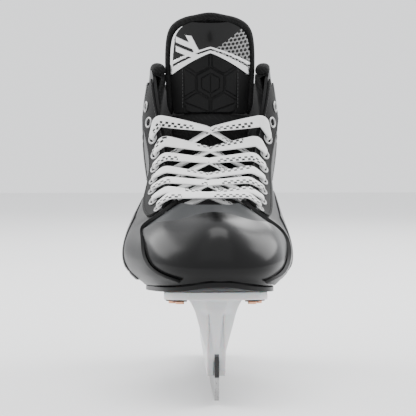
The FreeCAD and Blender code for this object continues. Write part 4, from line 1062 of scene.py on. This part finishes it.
def rounded(points, values):
    """Runs between points with their corners rounded, and the values carried along with them."""
    path, carried = [points[0]], [values[0]]
    for i in range(1, len(points) - 1):
        before, corner, after = points[i - 1], points[i], points[i + 1]
        a, b = before - corner, after - corner
        la, lb = np.linalg.norm(a), np.linalg.norm(b)
        reach = min(CORNER, 0.45 * la, 0.45 * lb)
        for share in np.linspace(0, 1, 7):
            start, end = corner + a / la * reach, corner + b / lb * reach
            path.append((1 - share) ** 2 * start + 2 * share * (1 - share) * corner + share ** 2 * end)
            near = values[i]
            if share < 0.5:
                near = values[i] + (values[i - 1] - values[i]) * (reach / la) * (0.5 - share) * 2
            if share > 0.5:
                near = values[i] + (values[i + 1] - values[i]) * (reach / lb) * (share - 0.5) * 2
            carried.append(near)
        beyond = np.linalg.norm(points[i + 2] - after) if i + 2 < len(points) else lb
        next_reach = min(CORNER, 0.45 * lb, 0.45 * beyond)
        first, last = corner + b / lb * reach, after - b / lb * next_reach
        for share in np.linspace(0, 1, max(3, int(np.linalg.norm(last - first) / 1.2)))[1:-1]:
            path.append(first + (last - first) * share)
            along = np.linalg.norm(path[-1] - corner) / lb
            carried.append(values[i] + (values[i + 1] - values[i]) * along)
    path.append(points[-1])
    carried.append(values[-1])
    return np.array(path), np.array(carried)


def lace():
    """The tape from tail to tail, turned to face the way its stops say, and a tip on each tail."""
    left, right = lace_route(-1), lace_route(1)
    stops = left[::-1] + right
    points = [p for p, n, size in stops]
    facing, previous = [], None
    for i, (p, n, size) in enumerate(stops):
        ahead = unit(points[min(i + 1, len(points) - 1)] - points[max(i - 1, 0)])
        n = unit(n - ahead * np.dot(n, ahead))
        if previous is not None and np.dot(n, previous) < 0:
            n = -n
        facing.append(n)
        previous = n
    values = [np.concatenate([n, stop[2]]) for n, stop in zip(facing, stops)]
    path, carried = rounded(points, values)
    piece = tube("lace_tape", path, carried[:, 3:5], carried[:, :3], 16, power=3.2)
    dress(piece, "lace", slot="lace_cloth")
    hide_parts("lace")
    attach(piece, "boot")
    tips = []
    for end, before, name in ((points[0], points[1], "a"), (points[-1], points[-2], "b")):
        run = unit(end - before)
        marks = np.array([-1.5, 0.0, 1.0, 10.0, 20.0, 21.5, 22.0])
        radius = np.array([1.9, 1.9, 1.75, 1.65, 1.6, 1.3, 0.7])
        sizes = np.stack([radius, radius], 1)
        tips.append(tube("tip_" + name, end + run * marks[:, None], sizes, np.tile([0, 0.3, 1], (7, 1)), 16))
    piece = joined("lace_aglets", tips)
    dress(piece, "tip", slot="tip_plastic")
    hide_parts("lace_tips")
    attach(piece, "boot")


# ------------------------------------------------------------------ holder, runner and fastenings
def moulded(node, name, voxel, passes):
    """A moulded piece from a CAD node: the same shape with its edges and joins softened."""
    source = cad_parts[node]
    piece = bpy.data.objects.new(name, source.data.copy())
    bpy.context.scene.collection.objects.link(piece)
    piece.data.materials.clear()
    work = bmesh.new()
    work.from_mesh(piece.data)
    bmesh.ops.remove_doubles(work, verts=work.verts, dist=1e-6)
    work.to_mesh(piece.data)
    work.free()
    remesh = piece.modifiers.new("remesh", "REMESH")
    remesh.mode, remesh.voxel_size, remesh.use_smooth_shade = "VOXEL", voxel / 1000.0, True
    soften = piece.modifiers.new("soften", "SMOOTH")
    soften.factor, soften.iterations = 0.5, passes
    graph = bpy.context.evaluated_depsgraph_get()
    mesh = bpy.data.meshes.new_from_object(piece.evaluated_get(graph))
    piece.modifiers.clear()
    piece.data = mesh
    mesh.polygons.foreach_set("use_smooth", [True] * len(mesh.polygons))
    return piece


def holder():
    """The blade holder, with flutes down the ends of its towers and hollows in their sides."""
    piece = moulded("holder", "holder_moulding", 0.55, 4)
    mesh = piece.data
    points = np.empty(len(mesh.vertices) * 3)
    normals = np.empty_like(points)
    mesh.vertices.foreach_get("co", points)
    mesh.vertices.foreach_get("normal", normals)
    points, normals = points.reshape(-1, 3) * 1000.0, normals.reshape(-1, 3)
    x, y, z = points.T
    width = np.interp(z, [29.5, 41, 51, 60, 67], [6.4, 8.6, 11.6, 14.3, 18.5])
    front = smooth(0.35, 0.7, -normals[:, 1]) * (y < -100) + smooth(0.35, 0.7, normals[:, 1]) * (y > 100)
    band = smooth(31, 38, z) * (1 - smooth(57, 62, z))
    flute = np.clip(np.abs(x) / width, 0, 1)
    depth = 2.4 * np.exp(-((flute - 0.5) / 0.24) ** 2)
    side = smooth(0.4, 0.8, np.abs(normals[:, 0])) * band * (np.abs(x) > 7.5)
    middle = np.where(y < 0, -84.0, 97.0)
    hollow = 1.5 * np.exp(-((y - middle) / 17.0) ** 4)
    points = points - normals * (depth * front * band + hollow * side)[:, None]
    mesh.vertices.foreach_set("co", (points / 1000.0).ravel())
    mesh.update()
    dress(piece, "holder", slot="holder_plastic")
    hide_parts("holder")
    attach(piece, "boot")


def hardware():
    dress_cad("steel", "runner", "runner")
    dress_cad("shell", "shell", "quarter_lateral", "quarter_medial")
    dress_cad("facing", "facing", "facing_lateral", "facing_medial")
    dress_cad("outsole", "outsole", "outsole")
    dress_cad("board", "board", "insole_board")
    dress_cad("bolt_steel", "bolt", "runner_screws", "runner_nuts")
    dress_cad("bolt_steel", "bolt", "rivet_washers_front", "rivet_washers_rear")
    dress_cad("copper", "copper", "rivets_front", "rivets_rear")
    # The rivet cups' near-black colour is painted shade, standing in for the shadow under the holder's
    # flanges.
    dress_cad("black_steel", "black_steel", "rivet_cups_front", "rivet_cups_rear")


# ------------------------------------------------------------------ stage
# Each light's place, power in watts and width, in metres.
LIGHTS = (("key", (-0.2, -1.3, 1.9), 9.0, 2.8), ("top", (0.0, 0.1, 1.9), 18.0, 1.3),
          ("back", (0.3, 1.6, 1.0), 10.0, 1.0), ("left", (-1.1, 0.55, 0.85), 15.0, 1.1),
          ("right", (1.1, 0.55, 0.85), 15.0, 1.1))


def stage():
    """A pale floor, an even sky and soft lights."""
    corners = [(-3000, -3000, 0), (3000, -3000, 0), (3000, 3000, 0), (-3000, 3000, 0)]
    floor = make("floor", corners, [(0, 1, 2, 3)])
    m = Nodes("floor_finish")
    m.surface(Base_Color=m.mix(m.noise(2.0), rgb(0.78), rgb(0.82)), Roughness=0.6)
    floor.data.materials.append(m.material)
    world = bpy.data.worlds.new("studio")
    bpy.context.scene.world = world
    world.use_nodes = True
    sky = next(n for n in world.node_tree.nodes if n.type == "BACKGROUND")
    sky.inputs[0].default_value, sky.inputs[1].default_value = (0.97, 0.98, 1.0, 1), 1.5
    for name, place, power, size in LIGHTS:
        data = bpy.data.lights.new(name, "AREA")
        data.shape, data.size, data.size_y, data.energy = "RECTANGLE", size, size * 0.7, power
        lamp = bpy.data.objects.new(name, data)
        lamp.location = place
        lamp.rotation_euler = (Vector((0, 0, 0.13)) - Vector(place)).to_track_quat("-Z", "Y").to_euler()
        bpy.context.scene.collection.objects.link(lamp)


def camera():
    """The picture's viewpoint: from the front, a little above the boot's middle, with a long lens."""
    distance, height, down, turn = 1.4, 0.196, math.radians(3.0), math.radians(1.35)
    data = bpy.data.cameras.new("camera")
    data.sensor_width, data.lens = 36.0, 1954.0 * 36.0 / 416.0
    view = bpy.data.objects.new("camera", data)
    view.location = (-distance * math.sin(turn) - 0.0027, -distance * math.cos(turn), height)
    view.rotation_euler = (math.pi / 2 - down, 0, -turn)
    bpy.context.scene.collection.objects.link(view)
    bpy.context.scene.camera = view


toe_cap()
linings()
footbed()
tongue_layers()
tongue_top_panel()
tongue_edge()
tendon()
panels()
seams()
for boot_side, side_name in SIDES:
    collar_roll(boot_side, side_name)
heel_lip()
grommets()
lace()
holder()
hardware()
stage()
camera()
